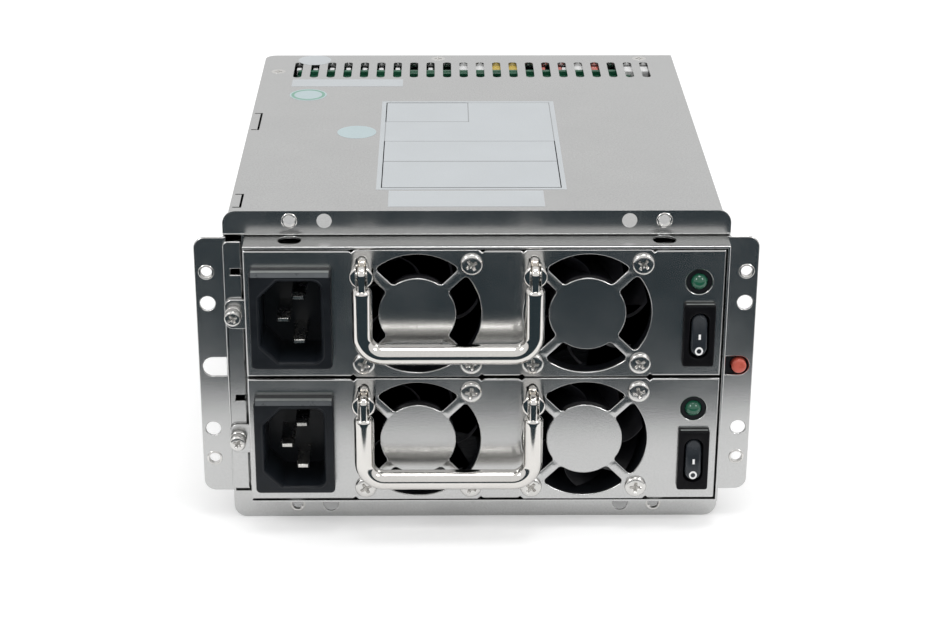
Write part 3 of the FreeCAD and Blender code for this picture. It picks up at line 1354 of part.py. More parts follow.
def heat_sink(x, y, foot):
    """An extruded heat sink: a web with fins to both sides."""
    half = S.sink_width / 2
    web = S.sink_web / 2
    depth = (y - S.sink_height, y + S.sink_height)
    block = box((x - half, x + half), depth, (foot, foot + S.sink_height))
    through = (depth[0] - OVER, depth[1] + OVER)
    gaps = []
    for step in range(int(float(S.fin_count))):
        low = foot + S.fin_foot + step * S.fin_pitch
        for across in ((x - half - OVER, x - web), (x + web, x + half + OVER)):
            gaps.append(box(across, through, (low, low + S.fin_gap)))
    return cut(block, *gaps)


def main_board(prefix, rise):
    """Main board of a supply with the tall parts that stand on it."""
    level = -casing_half + S.mcb_rise
    left = casing_left + S.sheet + S.part_gap
    right = casing_right - S.sheet - S.part_gap
    near = fan_back + S.board_setback
    far = casing_back - S.sheet - S.part_gap
    board = box((left, right), (near, far), (level, level + S.board_sheet))
    node(group(board), prefix + "circuit_board", rise)
    top = level + S.board_sheet
    bulk = S.bulk_radius
    bulk_x = left + bulk + 2 * S.part_gap
    bulk_y = (near + 3 * bulk, near + 3 * bulk + 2 * bulk + S.part_gap)
    small = S.can_radius
    output_x = right - small - 2 * S.part_gap
    output_y = (far - 3 * small, far - 3 * small - 2 * small - S.part_gap)
    core_x = (left + right) / 2 + S.part_gap
    core_y = (near + far) / 2
    half_core = S.core_width / 2
    half_winding = S.winding_width / 2
    room = S.part_gap + S.sink_width / 2
    sinks = [
        heat_sink(x, core_y, top)
        for x in (core_x - half_winding - room, core_x + half_winding + room)
    ]
    node(group(*sinks), prefix + "heat_sinks", rise)
    across = (core_x - half_core, core_x + half_core)
    core = box(across, about(core_y, S.core_depth), (top, top + S.core_height))
    winding = box(
        (core_x - half_winding, core_x + half_winding),
        about(core_y, S.winding_depth),
        (top + S.winding_inset, top + S.core_height - S.winding_inset),
    )
    node(fused(core, winding), prefix + "transformer", rise)
    cans = [cylinder("z", bulk, (bulk_x, y, top), S.bulk_height) for y in bulk_y]
    cans += [cylinder("z", small, (output_x, y, top), S.output_height) for y in output_y]
    node(group(*cans), prefix + "capacitors", rise)
    tongue_end = board_face - S.socket_block + S.finger_depth - S.connector_gap
    across = about(0.0, S.connector_width)
    base = box(across, (far, tongue_end), about(-S.connector_drop, S.connector_height))
    foot = box(across, (far - S.connector_height, far), (top, S.connector_height / 2 - S.connector_drop))
    node(fused(base, foot), prefix + "edge_connector", rise)


cage_tray()
top_cover()
bay_liner()
lock_bracket()
bay_divider()
rear_panel()
cable_grommet()
backplane()
cover_screws()
alarm_button()
for prefix, rise in (("upper_", bay_middle), ("lower_", -bay_middle)):
    front_plate(prefix + "front_plate", rise)
    casing(prefix + "casing", rise)
    lid(prefix + "lid", rise)
    inlet_housing(prefix + "inlet_housing", rise)
    inlet_pins(prefix + "inlet_pins", rise)
    for side, x in fan_places.items():
        fan_frame(f"{prefix}fan_{side}_frame", rise, x)
        fan_rotor(f"{prefix}fan_{side}_rotor", rise, x)
    fan_screws(prefix + "fan_screws", rise)
    handle_posts(prefix + "handle_posts", rise)
    handle_pins(prefix + "handle_pins", rise)
    handle(prefix + "handle", rise)
    switch(prefix, rise)
    status_led(prefix, rise)
    lock_screw(prefix + "lock_screw", rise)
    main_board(prefix, rise)
doc.recompute()

problems = [
    f"{thing.Label} ({thing.TypeId}): {', '.join(thing.State)}"
    for thing in doc.Objects
    if {"Invalid", "Error"} & set(thing.State)
]
problems += [
    f"{thing.Label}: no valid shape"
    for thing in nodes
    if thing.Shape.isNull() or not thing.Shape.isValid() or not thing.Shape.Solids
]
if problems:
    raise RuntimeError("\n".join(problems))

os.makedirs("parts", exist_ok=True)
for thing in nodes:
    shape = thing.Shape
    shape.exportStep(os.path.join("parts", thing.Label + ".step"))
    bounds = shape.BoundBox
    print(
        f"{thing.Label:24s} solids {len(shape.Solids):2d} faces {len(shape.Faces):4d}"
        f" volume {shape.Volume:10.1f}"
        f" x {bounds.XMin:7.2f} {bounds.XMax:7.2f} y {bounds.YMin:7.2f} {bounds.YMax:7.2f}"
        f" z {bounds.ZMin:7.2f} {bounds.ZMax:7.2f}"
    )
print(len(nodes), "nodes")
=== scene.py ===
"""Looks of a redundant server power supply: a plated steel cage with two supplies in it.

Metres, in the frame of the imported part: X to the right, Y to the rear, Z up. The pieces are worked out in
millimetres, with a place on the front as a complex number, X + Z i, and go into their meshes in metres.
"""
import json
import logging
import math
from dataclasses import dataclass, field
from enum import Enum

import bpy
import numpy as np
from mathutils import Matrix, Vector

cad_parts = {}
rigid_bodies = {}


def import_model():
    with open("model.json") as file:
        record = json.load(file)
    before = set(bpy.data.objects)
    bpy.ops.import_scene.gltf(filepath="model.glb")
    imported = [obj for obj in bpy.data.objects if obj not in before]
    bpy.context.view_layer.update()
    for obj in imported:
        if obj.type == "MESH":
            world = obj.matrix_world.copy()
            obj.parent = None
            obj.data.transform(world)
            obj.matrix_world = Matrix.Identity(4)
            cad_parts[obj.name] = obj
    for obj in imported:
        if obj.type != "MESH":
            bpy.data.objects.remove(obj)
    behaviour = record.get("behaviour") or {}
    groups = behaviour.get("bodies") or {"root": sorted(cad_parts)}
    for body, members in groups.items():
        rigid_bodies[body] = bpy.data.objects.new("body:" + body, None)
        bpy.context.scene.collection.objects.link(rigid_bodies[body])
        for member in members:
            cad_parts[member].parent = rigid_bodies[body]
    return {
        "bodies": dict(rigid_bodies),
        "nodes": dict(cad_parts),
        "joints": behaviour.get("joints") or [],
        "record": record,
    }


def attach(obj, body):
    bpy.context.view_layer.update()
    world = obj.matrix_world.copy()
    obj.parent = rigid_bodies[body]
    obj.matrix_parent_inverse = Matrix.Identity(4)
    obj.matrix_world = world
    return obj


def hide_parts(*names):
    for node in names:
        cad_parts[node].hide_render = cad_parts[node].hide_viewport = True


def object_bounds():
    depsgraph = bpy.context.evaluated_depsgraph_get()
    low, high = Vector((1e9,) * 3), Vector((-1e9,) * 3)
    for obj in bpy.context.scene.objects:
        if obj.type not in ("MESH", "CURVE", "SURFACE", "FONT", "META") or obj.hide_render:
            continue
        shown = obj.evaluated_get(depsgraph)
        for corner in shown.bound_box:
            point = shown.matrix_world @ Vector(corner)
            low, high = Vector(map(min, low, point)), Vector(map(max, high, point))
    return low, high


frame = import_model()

CAD_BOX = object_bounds()
NODES = frame["nodes"]
LOG = logging.getLogger("supply")
Colour = tuple[float, float, float]
Place = tuple[float, float, float]
Profile = list[tuple[float, float]]
Array = np.ndarray
MM = 0.001
ROCKER_TILT = -8.0
# The colour sockets of a mix node: its two inputs and its output.
COLOUR_A, COLOUR_B, MIXED_COLOUR = 6, 7, 2
# The part of a cloud pattern's range that is spread between two values.
CLOUD_LOW, CLOUD_HIGH = 0.32, 0.68


def set_inputs(node: bpy.types.Node, values: dict[str, float | tuple[float, ...]]) -> None:
    """Sets a node's inputs by their names."""
    for name, value in values.items():
        node.inputs[name].default_value = value


def new_material(name: str) -> tuple[bpy.types.Material, bpy.types.NodeTree, bpy.types.Node]:
    """Makes a material.

    Args:
        name: its name.

    Returns:
        The material, its nodes and its shader.
    """
    material = bpy.data.materials.new(name)
    material.use_nodes = True
    tree = material.node_tree
    return material, tree, tree.nodes["Principled BSDF"]


def placed(name: str, data: bpy.types.ID) -> bpy.types.Object:
    """Puts a mesh, a lamp or a camera into the scene.

    Args:
        name: the object's name.
        data: what it shows.

    Returns:
        The object.
    """
    thing = bpy.data.objects.new(name, data)
    bpy.context.scene.collection.objects.link(thing)
    return thing


class Texture(Enum):
    """What gives a finish its fine texture."""

    GRAIN = "grain"
    BRUSHED = "brushed"
    SMOOTH = "smooth"


@dataclass(frozen=True)
class Finish:
    """A finish: colour, gloss and the small unevenness of a real surface.

    The tone is how far the colour drifts, the smudge how far the roughness does, and the patch how many such
    clouds a metre holds. The grain is a finer pattern, which speckles the colour and raises bumps.
    """

    name: str
    colour: Colour
    metallic: float = 0.0
    roughness: float = 0.34
    tone: float = 0.2
    smudge: float = 0.05
    patch: float = 200.0
    texture: Texture = Texture.GRAIN
    grain: float = 2600.0
    bump: float = 0.02
    speckle: float = 0.03
    stroke: Place = (0.04, 1.0, 1.0)
    bump_height: float = 0.0002
    coat: float = 0.0
    specular: float = 0.5

    def build(self) -> bpy.types.Material:
        """Makes the finish's material.

        Returns:
            The material, with its pattern on Object coordinates.
        """
        material, tree, shader = new_material(self.name)
        look = {"Metallic": self.metallic, "Coat Weight": self.coat, "Specular IOR Level": self.specular}
        set_inputs(shader, look)
        place = tree.nodes.new("ShaderNodeTexCoord").outputs["Object"]
        patches = self.noise(tree, place, self.patch, 5.0, 0.62)
        low, high = self.roughness - self.smudge, self.roughness + self.smudge
        self.span(tree, patches, low, high, shader.inputs["Roughness"])
        base = self.tinted(tree, patches)
        if self.texture is not Texture.SMOOTH:
            grain = self.noise(tree, self.stroked(tree, place), self.grain, 2.0, 0.5)
            base = self.speckled(tree, base, grain)
            self.relief(tree, grain, shader)
        tree.links.new(base, shader.inputs["Base Color"])
        return material

    def noise(self, tree: bpy.types.NodeTree, place, scale: float, detail: float, rough: float):
        """A cloud pattern.

        Args:
            tree: the material's nodes.
            place: the coordinates.
            scale: clouds per metre.
            detail: finer octaves.
            rough: how strong the finer octaves are.

        Returns:
            The pattern's value.
        """
        node = tree.nodes.new("ShaderNodeTexNoise")
        set_inputs(node, {"Scale": scale, "Detail": detail, "Roughness": rough})
        tree.links.new(place, node.inputs["Vector"])
        return node.outputs["Fac"]

    def span(self, tree: bpy.types.NodeTree, value, low: float, high: float, target) -> None:
        """Spreads a pattern between two values.

        Args:
            tree: the material's nodes.
            value: the pattern.
            low: what its dark parts give.
            high: what its bright parts give.
            target: the socket that takes it.
        """
        node = tree.nodes.new("ShaderNodeMapRange")
        set_inputs(node, {"From Min": CLOUD_LOW, "From Max": CLOUD_HIGH, "To Min": low, "To Max": high})
        tree.links.new(value, node.inputs["Value"])
        tree.links.new(node.outputs["Result"], target)

    def tinted(self, tree: bpy.types.NodeTree, pattern):
        """The colour with a slow drift between a darker and a lighter tone.

        Args:
            tree: the material's nodes.
            pattern: the cloud pattern.

        Returns:
            The colour.
        """
        node = tree.nodes.new("ShaderNodeMix")
        node.data_type = "RGBA"
        for socket, factor in ((COLOUR_A, 1.0 - self.tone), (COLOUR_B, 1.0 + self.tone)):
            node.inputs[socket].default_value = (*(min(1.0, part * factor) for part in self.colour), 1.0)
        self.span(tree, pattern, 0.0, 1.0, node.inputs[0])
        return node.outputs[MIXED_COLOUR]

    def stroked(self, tree: bpy.types.NodeTree, place):
        """The coordinates, drawn out along X where the finish is brushed.

        Args:
            tree: the material's nodes.
            place: the coordinates.

        Returns:
            The coordinates for the grain.
        """
        if self.texture is not Texture.BRUSHED:
            return place
        stretch = tree.nodes.new("ShaderNodeMapping")
        stretch.inputs["Scale"].default_value = self.stroke
        tree.links.new(place, stretch.inputs["Vector"])
        return stretch.outputs["Vector"]

    def speckled(self, tree: bpy.types.NodeTree, base, grain):
        """The colour times a fine grain.

        Args:
            tree: the material's nodes.
            base: the colour.
            grain: the grain's pattern.

        Returns:
            The colour with its grain.
        """
        node = tree.nodes.new("ShaderNodeMix")
        node.data_type = "RGBA"
        node.blend_type = "MULTIPLY"
        node.inputs[0].default_value = 1.0
        tree.links.new(base, node.inputs[COLOUR_A])
        self.span(tree, grain, 1.0 - self.speckle, 1.0 + self.speckle, node.inputs[COLOUR_B])
        return node.outputs[MIXED_COLOUR]

    def relief(self, tree: bpy.types.NodeTree, grain, shader: bpy.types.Node) -> None:
        """Fine bumps from the grain.

        Args:
            tree: the material's nodes.
            grain: the grain's pattern.
            shader: the shader that takes them.
        """
        bump = tree.nodes.new("ShaderNodeBump")
        set_inputs(bump, {"Strength": self.bump, "Distance": self.bump_height})
        tree.links.new(grain, bump.inputs["Height"])
        tree.links.new(bump.outputs["Normal"], shader.inputs["Normal"])


PRINTED = {"roughness": 0.45, "smudge": 0.03, "patch": 400.0, "bump": 0.01}
FILM = {"roughness": 0.42, "tone": 0.02, "smudge": 0.03, "patch": 60.0, "bump": 0.01}


class Finishes:
    """Every finish of the supply, made once each."""

    RECIPES = (
        Finish(
            "plated_steel", (0.59, 0.592, 0.588), metallic=1.0, roughness=0.24, tone=0.025, smudge=0.03,
            patch=45.0, grain=1700.0, bump=0.05, speckle=0.05,
        ),
        Finish(
            "chrome", (0.78, 0.76, 0.73), metallic=1.0, roughness=0.1, tone=0.02, smudge=0.02,
            patch=60.0, bump=0.01,
        ),
        Finish(
            "bright_screw", (0.72, 0.71, 0.69), metallic=1.0, roughness=0.2, tone=0.05, patch=300.0,
        ),
        Finish(
            "inlet_blade", (0.66, 0.65, 0.62), metallic=1.0, roughness=0.25, tone=0.05, smudge=0.04,
            patch=300.0,
        ),
        Finish("black_plastic", (0.008, 0.009, 0.011), roughness=0.4, bump=0.06, specular=0.18),
        Finish("inlet_plastic", (0.008, 0.010, 0.013), bump=0.03, specular=0.25),
        Finish("fan_plastic", (0.009, 0.009, 0.011), bump=0.03, specular=0.4),
        Finish("black_gloss", (0.016, 0.02, 0.025), roughness=0.24),
        Finish("switch_plastic", (0.003, 0.003, 0.004), roughness=0.4, bump=0.05, specular=0.12),
        # Painted highlight: a lighter plastic for the top bevel of the moulded frames, standing in for the
        # light on that bevel.
        Finish("painted_bevel_highlight", (0.055, 0.062, 0.068), roughness=0.3, tone=0.1),
        # Painted highlight: a much lighter plastic for the top face behind the frames' bevel, standing in for
        # light falling on it.
        Finish("painted_top_highlight", (0.2, 0.215, 0.21), roughness=0.35, tone=0.15, patch=300.0),
        Finish("black_rubber", (0.02, 0.02, 0.02), roughness=0.65, smudge=0.06, bump=0.08),
        Finish(
            "green_board", (0.012, 0.11, 0.055), roughness=0.35, tone=0.25, smudge=0.08, patch=260.0,
            bump=0.05,
        ),
        Finish("capacitor_sleeve", (0.03, 0.035, 0.06), roughness=0.3, smudge=0.04, patch=160.0),
        Finish("transformer_tape", (0.62, 0.45, 0.08), roughness=0.45, tone=0.1, patch=160.0, bump=0.05),
        Finish(
            "bare_aluminium", (0.72, 0.72, 0.73), metallic=1.0, roughness=0.35, tone=0.05, patch=90.0,
            texture=Texture.BRUSHED, grain=1500.0, bump=0.06,
        ),
        Finish(
            "green_lamp", (0.012, 0.085, 0.048), roughness=0.08, tone=0.1, smudge=0.02, patch=300.0,
            texture=Texture.SMOOTH, coat=0.4,
        ),
        Finish(
            "red_plastic", (0.55, 0.10, 0.066), roughness=0.28, tone=0.1, patch=300.0, bump=0.03, coat=0.3,
        ),
        Finish("white_print", (0.80, 0.80, 0.80), tone=0.03, **PRINTED),
        Finish("grey_print", (0.30, 0.31, 0.32), tone=0.05, **PRINTED),
        Finish("green_print", (0.20, 0.38, 0.30), tone=0.05, **PRINTED),
        Finish("silver_film", (0.60, 0.63, 0.65), metallic=0.5, **FILM),
        Finish("blue_film", (0.50, 0.60, 0.62), metallic=0.3, **FILM),
    )

    def __init__(self) -> None:
        """Builds the materials."""
        self.made = {recipe.name: recipe.build() for recipe in self.RECIPES}

    def __getitem__(self, name: str) -> bpy.types.Material:
        """The material of that name."""
        return self.made[name]


NODES_OF = {
    "plated_steel": (
        "cage_tray top_cover bay_liner lock_bracket bay_divider rear_panel front_plate casing lid"
    ),
    "black_rubber": "cable_grommet",
    "green_board": "backplane_board circuit_board",
    "black_plastic": (
        "backplane_sockets alarm_buzzer alarm_switch_body inlet_housing fan_left_frame "
        "fan_right_frame fan_left_rotor fan_right_rotor switch_housing led_holder edge_connector"
    ),
    "capacitor_sleeve": "backplane_capacitors capacitors",
    "bright_screw": "cover_screws fan_screws handle_pins lock_screw",
    "red_plastic": "alarm_button",
    "inlet_blade": "inlet_pins",
    "chrome": "handle_posts handle",
    "black_gloss": "switch_rocker",
    "green_lamp": "status_led",
    "bare_aluminium": "heat_sinks",
    "transformer_tape": "transformer",
}
FINISH_OF = {node: finish for finish, nodes in NODES_OF.items() for node in nodes.split()}


@dataclass
class Dresser:
    """Gives the carried-over nodes their finish and their softened edges.

    The softening isn't clamped on the sharp-outlined nodes, whose shortest edges would shrink it to nothing.
    """

    finishes: Finishes
    edge: float = 0.00026
    flat: float = math.radians(0.3)
    crease: float = math.radians(28.0)
    weld: float = 0.000002
    sharp_outlined: tuple[str, ...] = ("lock_bracket", "cage_tray", "front_plate")

    def rounding(self) -> bpy.types.NodeTree:
        """Nodes that join the loose triangles and shade them smooth up to the crease angle.

        Returns:
            The node group, for a modifier.
        """
        tree = bpy.data.node_groups.new("joined_surface", "GeometryNodeTree")
        tree.interface.new_socket("Geometry", in_out="INPUT", socket_type="NodeSocketGeometry")
        tree.interface.new_socket("Geometry", in_out="OUTPUT", socket_type="NodeSocketGeometry")
        start = tree.nodes.new("NodeGroupInput")
        merge = tree.nodes.new("GeometryNodeMergeByDistance")
        merge.inputs["Distance"].default_value = self.weld
        smooth = tree.nodes.new("GeometryNodeSetShadeSmooth")
        angle = tree.nodes.new("GeometryNodeInputMeshEdgeAngle")
        sharp = tree.nodes.new("FunctionNodeCompare")
        sharp.inputs["B"].default_value = self.crease
        crease = tree.nodes.new("GeometryNodeSetShadeSmooth")
        crease.domain = "EDGE"
        crease.inputs["Shade Smooth"].default_value = False
        end = tree.nodes.new("NodeGroupOutput")
        tree.links.new(start.outputs[0], merge.inputs[0])
        tree.links.new(merge.outputs[0], smooth.inputs["Geometry"])
        tree.links.new(smooth.outputs[0], crease.inputs["Geometry"])
        tree.links.new(angle.outputs["Unsigned Angle"], sharp.inputs["A"])
        tree.links.new(sharp.outputs["Result"], crease.inputs["Selection"])
        tree.links.new(crease.outputs[0], end.inputs[0])
        return tree

    def dress(self) -> None:
        """Dresses every node."""
        join = self.rounding()
        for name, node in NODES.items():
            plain = name.removeprefix("upper_").removeprefix("lower_")
            node.data.materials.clear()
            node.data.materials.append(self.finishes[FINISH_OF[plain]])
            merge = node.modifiers.new("join", "NODES")
            merge.node_group = join
            plane = node.modifiers.new("plane", "DECIMATE")
            plane.decimate_type = "DISSOLVE"
            plane.angle_limit = self.flat
            soften = node.modifiers.new("soften", "BEVEL")
            soften.width = self.edge
            soften.segments = 2
            soften.limit_method = "ANGLE"
            soften.angle_limit = self.crease
            soften.use_clamp_overlap = plain not in self.sharp_outlined
            weigh = node.modifiers.new("weigh", "WEIGHTED_NORMAL")
            weigh.mode = "FACE_AREA"
            weigh.weight = 50
            weigh.keep_sharp = True
            LOG.info("dressed %s", name)


def rounded(corners: Array, radii: Array, steps: int = 10) -> Array:
    """A closed outline of straight edges whose corners are arcs that touch both edges.

    At a corner with the exterior angle a, the arc of radius r starts r tan(a/2) before it.

    Args:
        corners: the corners against the clock, as complex numbers.
        radii: the radius at each corner.
        steps: points of each arc.

    Returns:
        The outline's points, corners times steps of them.
    """
    before = np.roll(corners, 1) - corners
    after = np.roll(corners, -1) - corners
    before /= np.abs(before)
    after /= np.abs(after)
    angle = np.angle(-after / before)
    start = corners + before * radii * np.tan(np.abs(angle) / 2)
    spoke = 1j * np.sign(angle) * before * radii
    swing = np.exp(1j * angle[:, None] * np.linspace(0.0, 1.0, steps))
    return (start[:, None] - spoke[:, None] + spoke[:, None] * swing).ravel()


@dataclass(frozen=True)
class Outline:
    """An outline on the plane of X and Z, with a radius at each corner."""

    corners: Array
    radii: Array

    @classmethod
    def block(cls, width: float, height: float, radius: float, middle: complex = 0j) -> "Outline":
        """A rectangle with round corners.

        Args:
            width: along X.
            height: along Z.
            radius: its corners.
            middle: its centre.

        Returns:
            The outline.
        """
        signs = np.array([-1 - 1j, 1 - 1j, 1 + 1j, -1 + 1j])
        corners = middle + signs.real * width / 2 + 1j * signs.imag * height / 2
        return cls(corners, np.full(4, radius))

    def inset(self, depth: float) -> "Outline":
        """The outline with each edge moved inwards, and its inner radii kept on the same centres.

        Args:
            depth: how far, outwards if negative.

        Returns:
            The new outline.
        """
        before = self.corners - np.roll(self.corners, 1)
        after = np.roll(self.corners, -1) - self.corners
        inward = 1j * before / np.abs(before), 1j * after / np.abs(after)
        spread = 1.0 + (inward[0] * inward[1].conjugate()).real
        moved = self.corners + depth * (inward[0] + inward[1]) / spread
        return Outline(moved, np.maximum(self.radii - depth, 0.0))

    def points(self, steps: int = 10) -> Array:
        """Its points, as complex numbers."""
        return rounded(self.corners, self.radii, steps)

    def loop(self, depth: float, inset: float = 0.0, steps: int = 10) -> Array:
        """Its points at a depth along Y, each edge moved inwards by the inset."""
        return at_depth(self.inset(inset).points(steps), depth)


def circle(radius: float, middle: complex = 0j, count: int = 64) -> Array:
    """A circle's points, as complex numbers."""
    return middle + radius * np.exp(2j * np.pi * np.arange(count) / count)


def at_depth(flat: Array, depth: float | Array) -> Array:
    """Points of X and Z at a depth along Y."""
    return np.stack([flat.real, np.broadcast_to(depth, flat.shape), flat.imag], -1)


def at_height(flat: Array, height: float) -> Array:
    """Points of X and Y at a height."""
    return np.stack([flat.real, flat.imag, np.broadcast_to(height, flat.shape)], -1)


@dataclass
class Shell:
    """A closed surface: its points and the faces between them."""

    points: Array
    faces: list[list[int]]

    @classmethod
    def loft(cls, loops: list[Array], ring: bool = False) -> "Shell":
        """A skin over closed loops of equally many points, with its two ends closed.

        Args:
            loops: the loops, each points by three.
            ring: joins the last loop to the first instead of closing the ends.

        Returns:
            The shell, with its faces outwards.
        """
        stacked = np.stack(loops)
        rows, count = stacked.shape[:2]
        index = np.arange(rows * count).reshape(rows, count)
        low, high = (index, np.roll(index, -1, 0)) if ring else (index[:-1], index[1:])
        quads = np.stack([low, np.roll(low, -1, 1), np.roll(high, -1, 1), high], -1)
        quads = quads.reshape(-1, 4)
        points = stacked.reshape(-1, 3)
        faces = quads.tolist()
        middle = points - points.mean(0)
        volume = cls.swept(middle, quads)
        if not ring:
            for end in (index[0, ::-1], index[-1]):
                faces.append(end.tolist())
                fan = middle[end]
                volume += np.sum(fan[0] * np.cross(fan[:-1], fan[1:]))
        return cls(points, faces if volume > 0 else [face[::-1] for face in faces])

    @classmethod
    def lathe(cls, profile: Profile, middle: complex, count: int = 64, ring: bool = False) -> "Shell":
        """A round piece along Y.

        Args:
            profile: radius and depth, from one end to the other.
            middle: its axis.
            count: points round it.
            ring: joins the profile's ends, which leaves a hole through the piece.

        Returns:
            The shell.
        """
        flat = circle(1.0, count=count)
        return cls.loft([at_depth(radius * flat + middle, depth) for radius, depth in profile], ring)

    @classmethod
    def sheet(cls, front: Array, back: Array) -> "Shell":
        """A thin piece between two grids of points.

        Args:
            front: rows by columns by three.
            back: the same grid on the other side.

        Returns:
            The shell.
        """
        rows, columns = front.shape[:2]
        index = np.arange(rows * columns).reshape(rows, columns)
        grid = np.stack([index[:-1, :-1], index[:-1, 1:], index[1:, 1:], index[1:, :-1]], -1)
        grid = grid.reshape(-1, 4)
        border = cls.border(index[..., None])[:, 0]
        after = np.roll(border, -1)
        offset = rows * columns
        side = np.stack([border, border + offset, after + offset, after], -1)
        faces = np.concatenate([grid, grid[:, ::-1] + offset, side])
        points = np.concatenate([front.reshape(-1, 3), back.reshape(-1, 3)])
        middle = points - points.mean(0)
        return cls(points, (faces if cls.swept(middle, faces) > 0 else faces[:, ::-1]).tolist())

    @staticmethod
    def swept(points: Array, quads: Array) -> float:
        """Six times the volume between faces of four corners and the origin, each cut into two triangles.

        Args:
            points: the points, about their middle.
            quads: the faces.

        Returns:
            That volume, above nothing where the faces look outwards.
        """
        first, second, third, fourth = (points[quads[:, corner]] for corner in range(4))
        return np.sum(first * np.cross(second, third)) + np.sum(first * np.cross(third, fourth))

    @staticmethod
    def border(grid: Array) -> Array:
        """The rim of a grid, once round."""
        return np.concatenate([grid[0, :-1], grid[:-1, -1], grid[-1, :0:-1], grid[:0:-1, 0]])

    def turned(self, turn: Array) -> "Shell":
        """The shell turned about the origin by a three by three rotation."""
        return Shell(self.points @ turn.T, self.faces)

    def moved(self, x: float = 0.0, y: float = 0.0, z: float = 0.0) -> "Shell":
        """The shell moved by that much."""
        return Shell(self.points + np.array([x, y, z]), self.faces)


def tilt_about_x(degrees: float) -> Array:
    """The rotation about X, as three rows."""
    return np.array(Matrix.Rotation(math.radians(degrees), 3, "X"))


@dataclass
class Workshop:
    """Makes pieces from shells, and gives each its finish and body."""

    finishes: Finishes
    crease: float = math.radians(32.0)

    def piece(
        self,
        name: str,
        shells: list[Shell],
        finish: str,
        body: str,
        slot: str,
        stands_for: tuple[str, ...] = (),
    ) -> None:
        """One piece of closed shells, given in millimetres.

        Args:
            name: the piece's name.
            shells: its shells.
            finish: the finish's name.
            body: the body that it rides on.
            slot: not used.
            stands_for: the nodes that it replaces.
        """
        starts = np.cumsum([0] + [len(shell.points) for shell in shells])
        points = np.concatenate([shell.points for shell in shells]) * MM
        faces = [
            [corner + start for corner in face]
            for shell, start in zip(shells, starts.tolist())
            for face in shell.faces
        ]
        mesh = bpy.data.meshes.new(name)
        mesh.from_pydata(points.tolist(), [], faces)
        mesh.polygons.foreach_set("use_smooth", np.ones(len(faces), dtype=bool))
        mesh.set_sharp_from_angle(angle=self.crease)
        mesh.materials.append(self.finishes[finish])
        thing = placed(name, mesh)
        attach(thing, body)
        if stands_for:
            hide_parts(*stands_for)
        LOG.info("made %s", name)


def rim(radius: float, steps: int = 6) -> tuple[Array, Array]:
    """A quarter round from a side wall to a face: how far in and how far down each step lies.

    Args:
        radius: the round's radius.
        steps: its points.

    Returns:
        The insets from the side, and the depths below the face.
    """
    angle = np.linspace(0.0, np.pi / 2, steps)
    return radius * (1 - np.cos(angle)), radius * (1 - np.sin(angle))


@dataclass
class ScrewHead:
    """A pan head with a raised crown, and a cross recess that narrows downwards.

    The crown is the raised middle's share of the radius. The sides are how far the recess lies inside its
    outline at the face, each with its share of the depth.
    """

    radius: float
    rise: float
    edge: float = 0.75
    arm: float = 0.85
    reach: float = 1.75
    depth: float = 1.15
    crown: float = 2.2 / 3.35
    crown_rise: float = 0.04
    mouth: float = -0.06
    sides: tuple[tuple[float, float], ...] = ((0.02, 0.06), (0.5, 0.6), (0.85, 1.0))
    count: int = 96

    def cross(self, shrink: float) -> Array:
        """The recess at one depth: a plus sign of two bars with round inner corners.

        Args:
            shrink: how far its sides lie inside the recess at the face.

        Returns:
            Evenly spaced points against the clock, from the first arm's end.
        """
        half, reach = self.arm / 2 - 0.6 * shrink, self.reach - shrink
        arm = np.array([reach - 1j * half, reach + 1j * half, 1.25 * half * (1 + 1j)])
        corners = np.concatenate([arm * 1j**quarter for quarter in range(4)])
        round_off = np.tile([0.12, 0.12, 0.3], 4) * (half / self.arm)
        loop = rounded(corners, round_off, 5)
        loop = np.append(loop, loop[0])
        along = np.concatenate([[0.0], np.cumsum(np.abs(np.diff(loop)))])
        steps = np.linspace(0.0, along[-1], self.count, endpoint=False)
        return np.interp(steps, along, loop.real) + 1j * np.interp(steps, along, loop.imag)

    def shell(self, middle: complex, face: float, turn: float) -> Shell:
        """The head in front of a face.

        Args:
            middle: its centre.
            face: the depth of the face that it stands on.
            turn: how far the recess is turned, in degrees.

        Returns:
            The head.
        """
        start = np.angle(self.cross(0.0)[0])
        ring = circle(1.0, count=self.count) * np.exp(1j * start)
        top = face - self.rise
        loops = [(self.radius * ring, face + 0.1)]
        loops += [((self.radius - back) * ring, top + down) for back, down in zip(*rim(self.edge, 8))]
        raised = top - self.crown_rise
        loops += [(self.crown * self.radius * ring, raised), (self.cross(self.mouth), raised)]
        loops += [(self.cross(shrink), top + share * self.depth) for shrink, share in self.sides]
        spin = np.exp(1j * math.radians(turn))
        return Shell.loft([at_depth(flat * spin + middle, depth) for flat, depth in loops])


FAN_SCREW = ScrewHead(3.35, 1.25, edge=0.95)
LOCK_SCREW = ScrewHead(2.5, 2.2, edge=0.7, arm=0.75, reach=1.4)


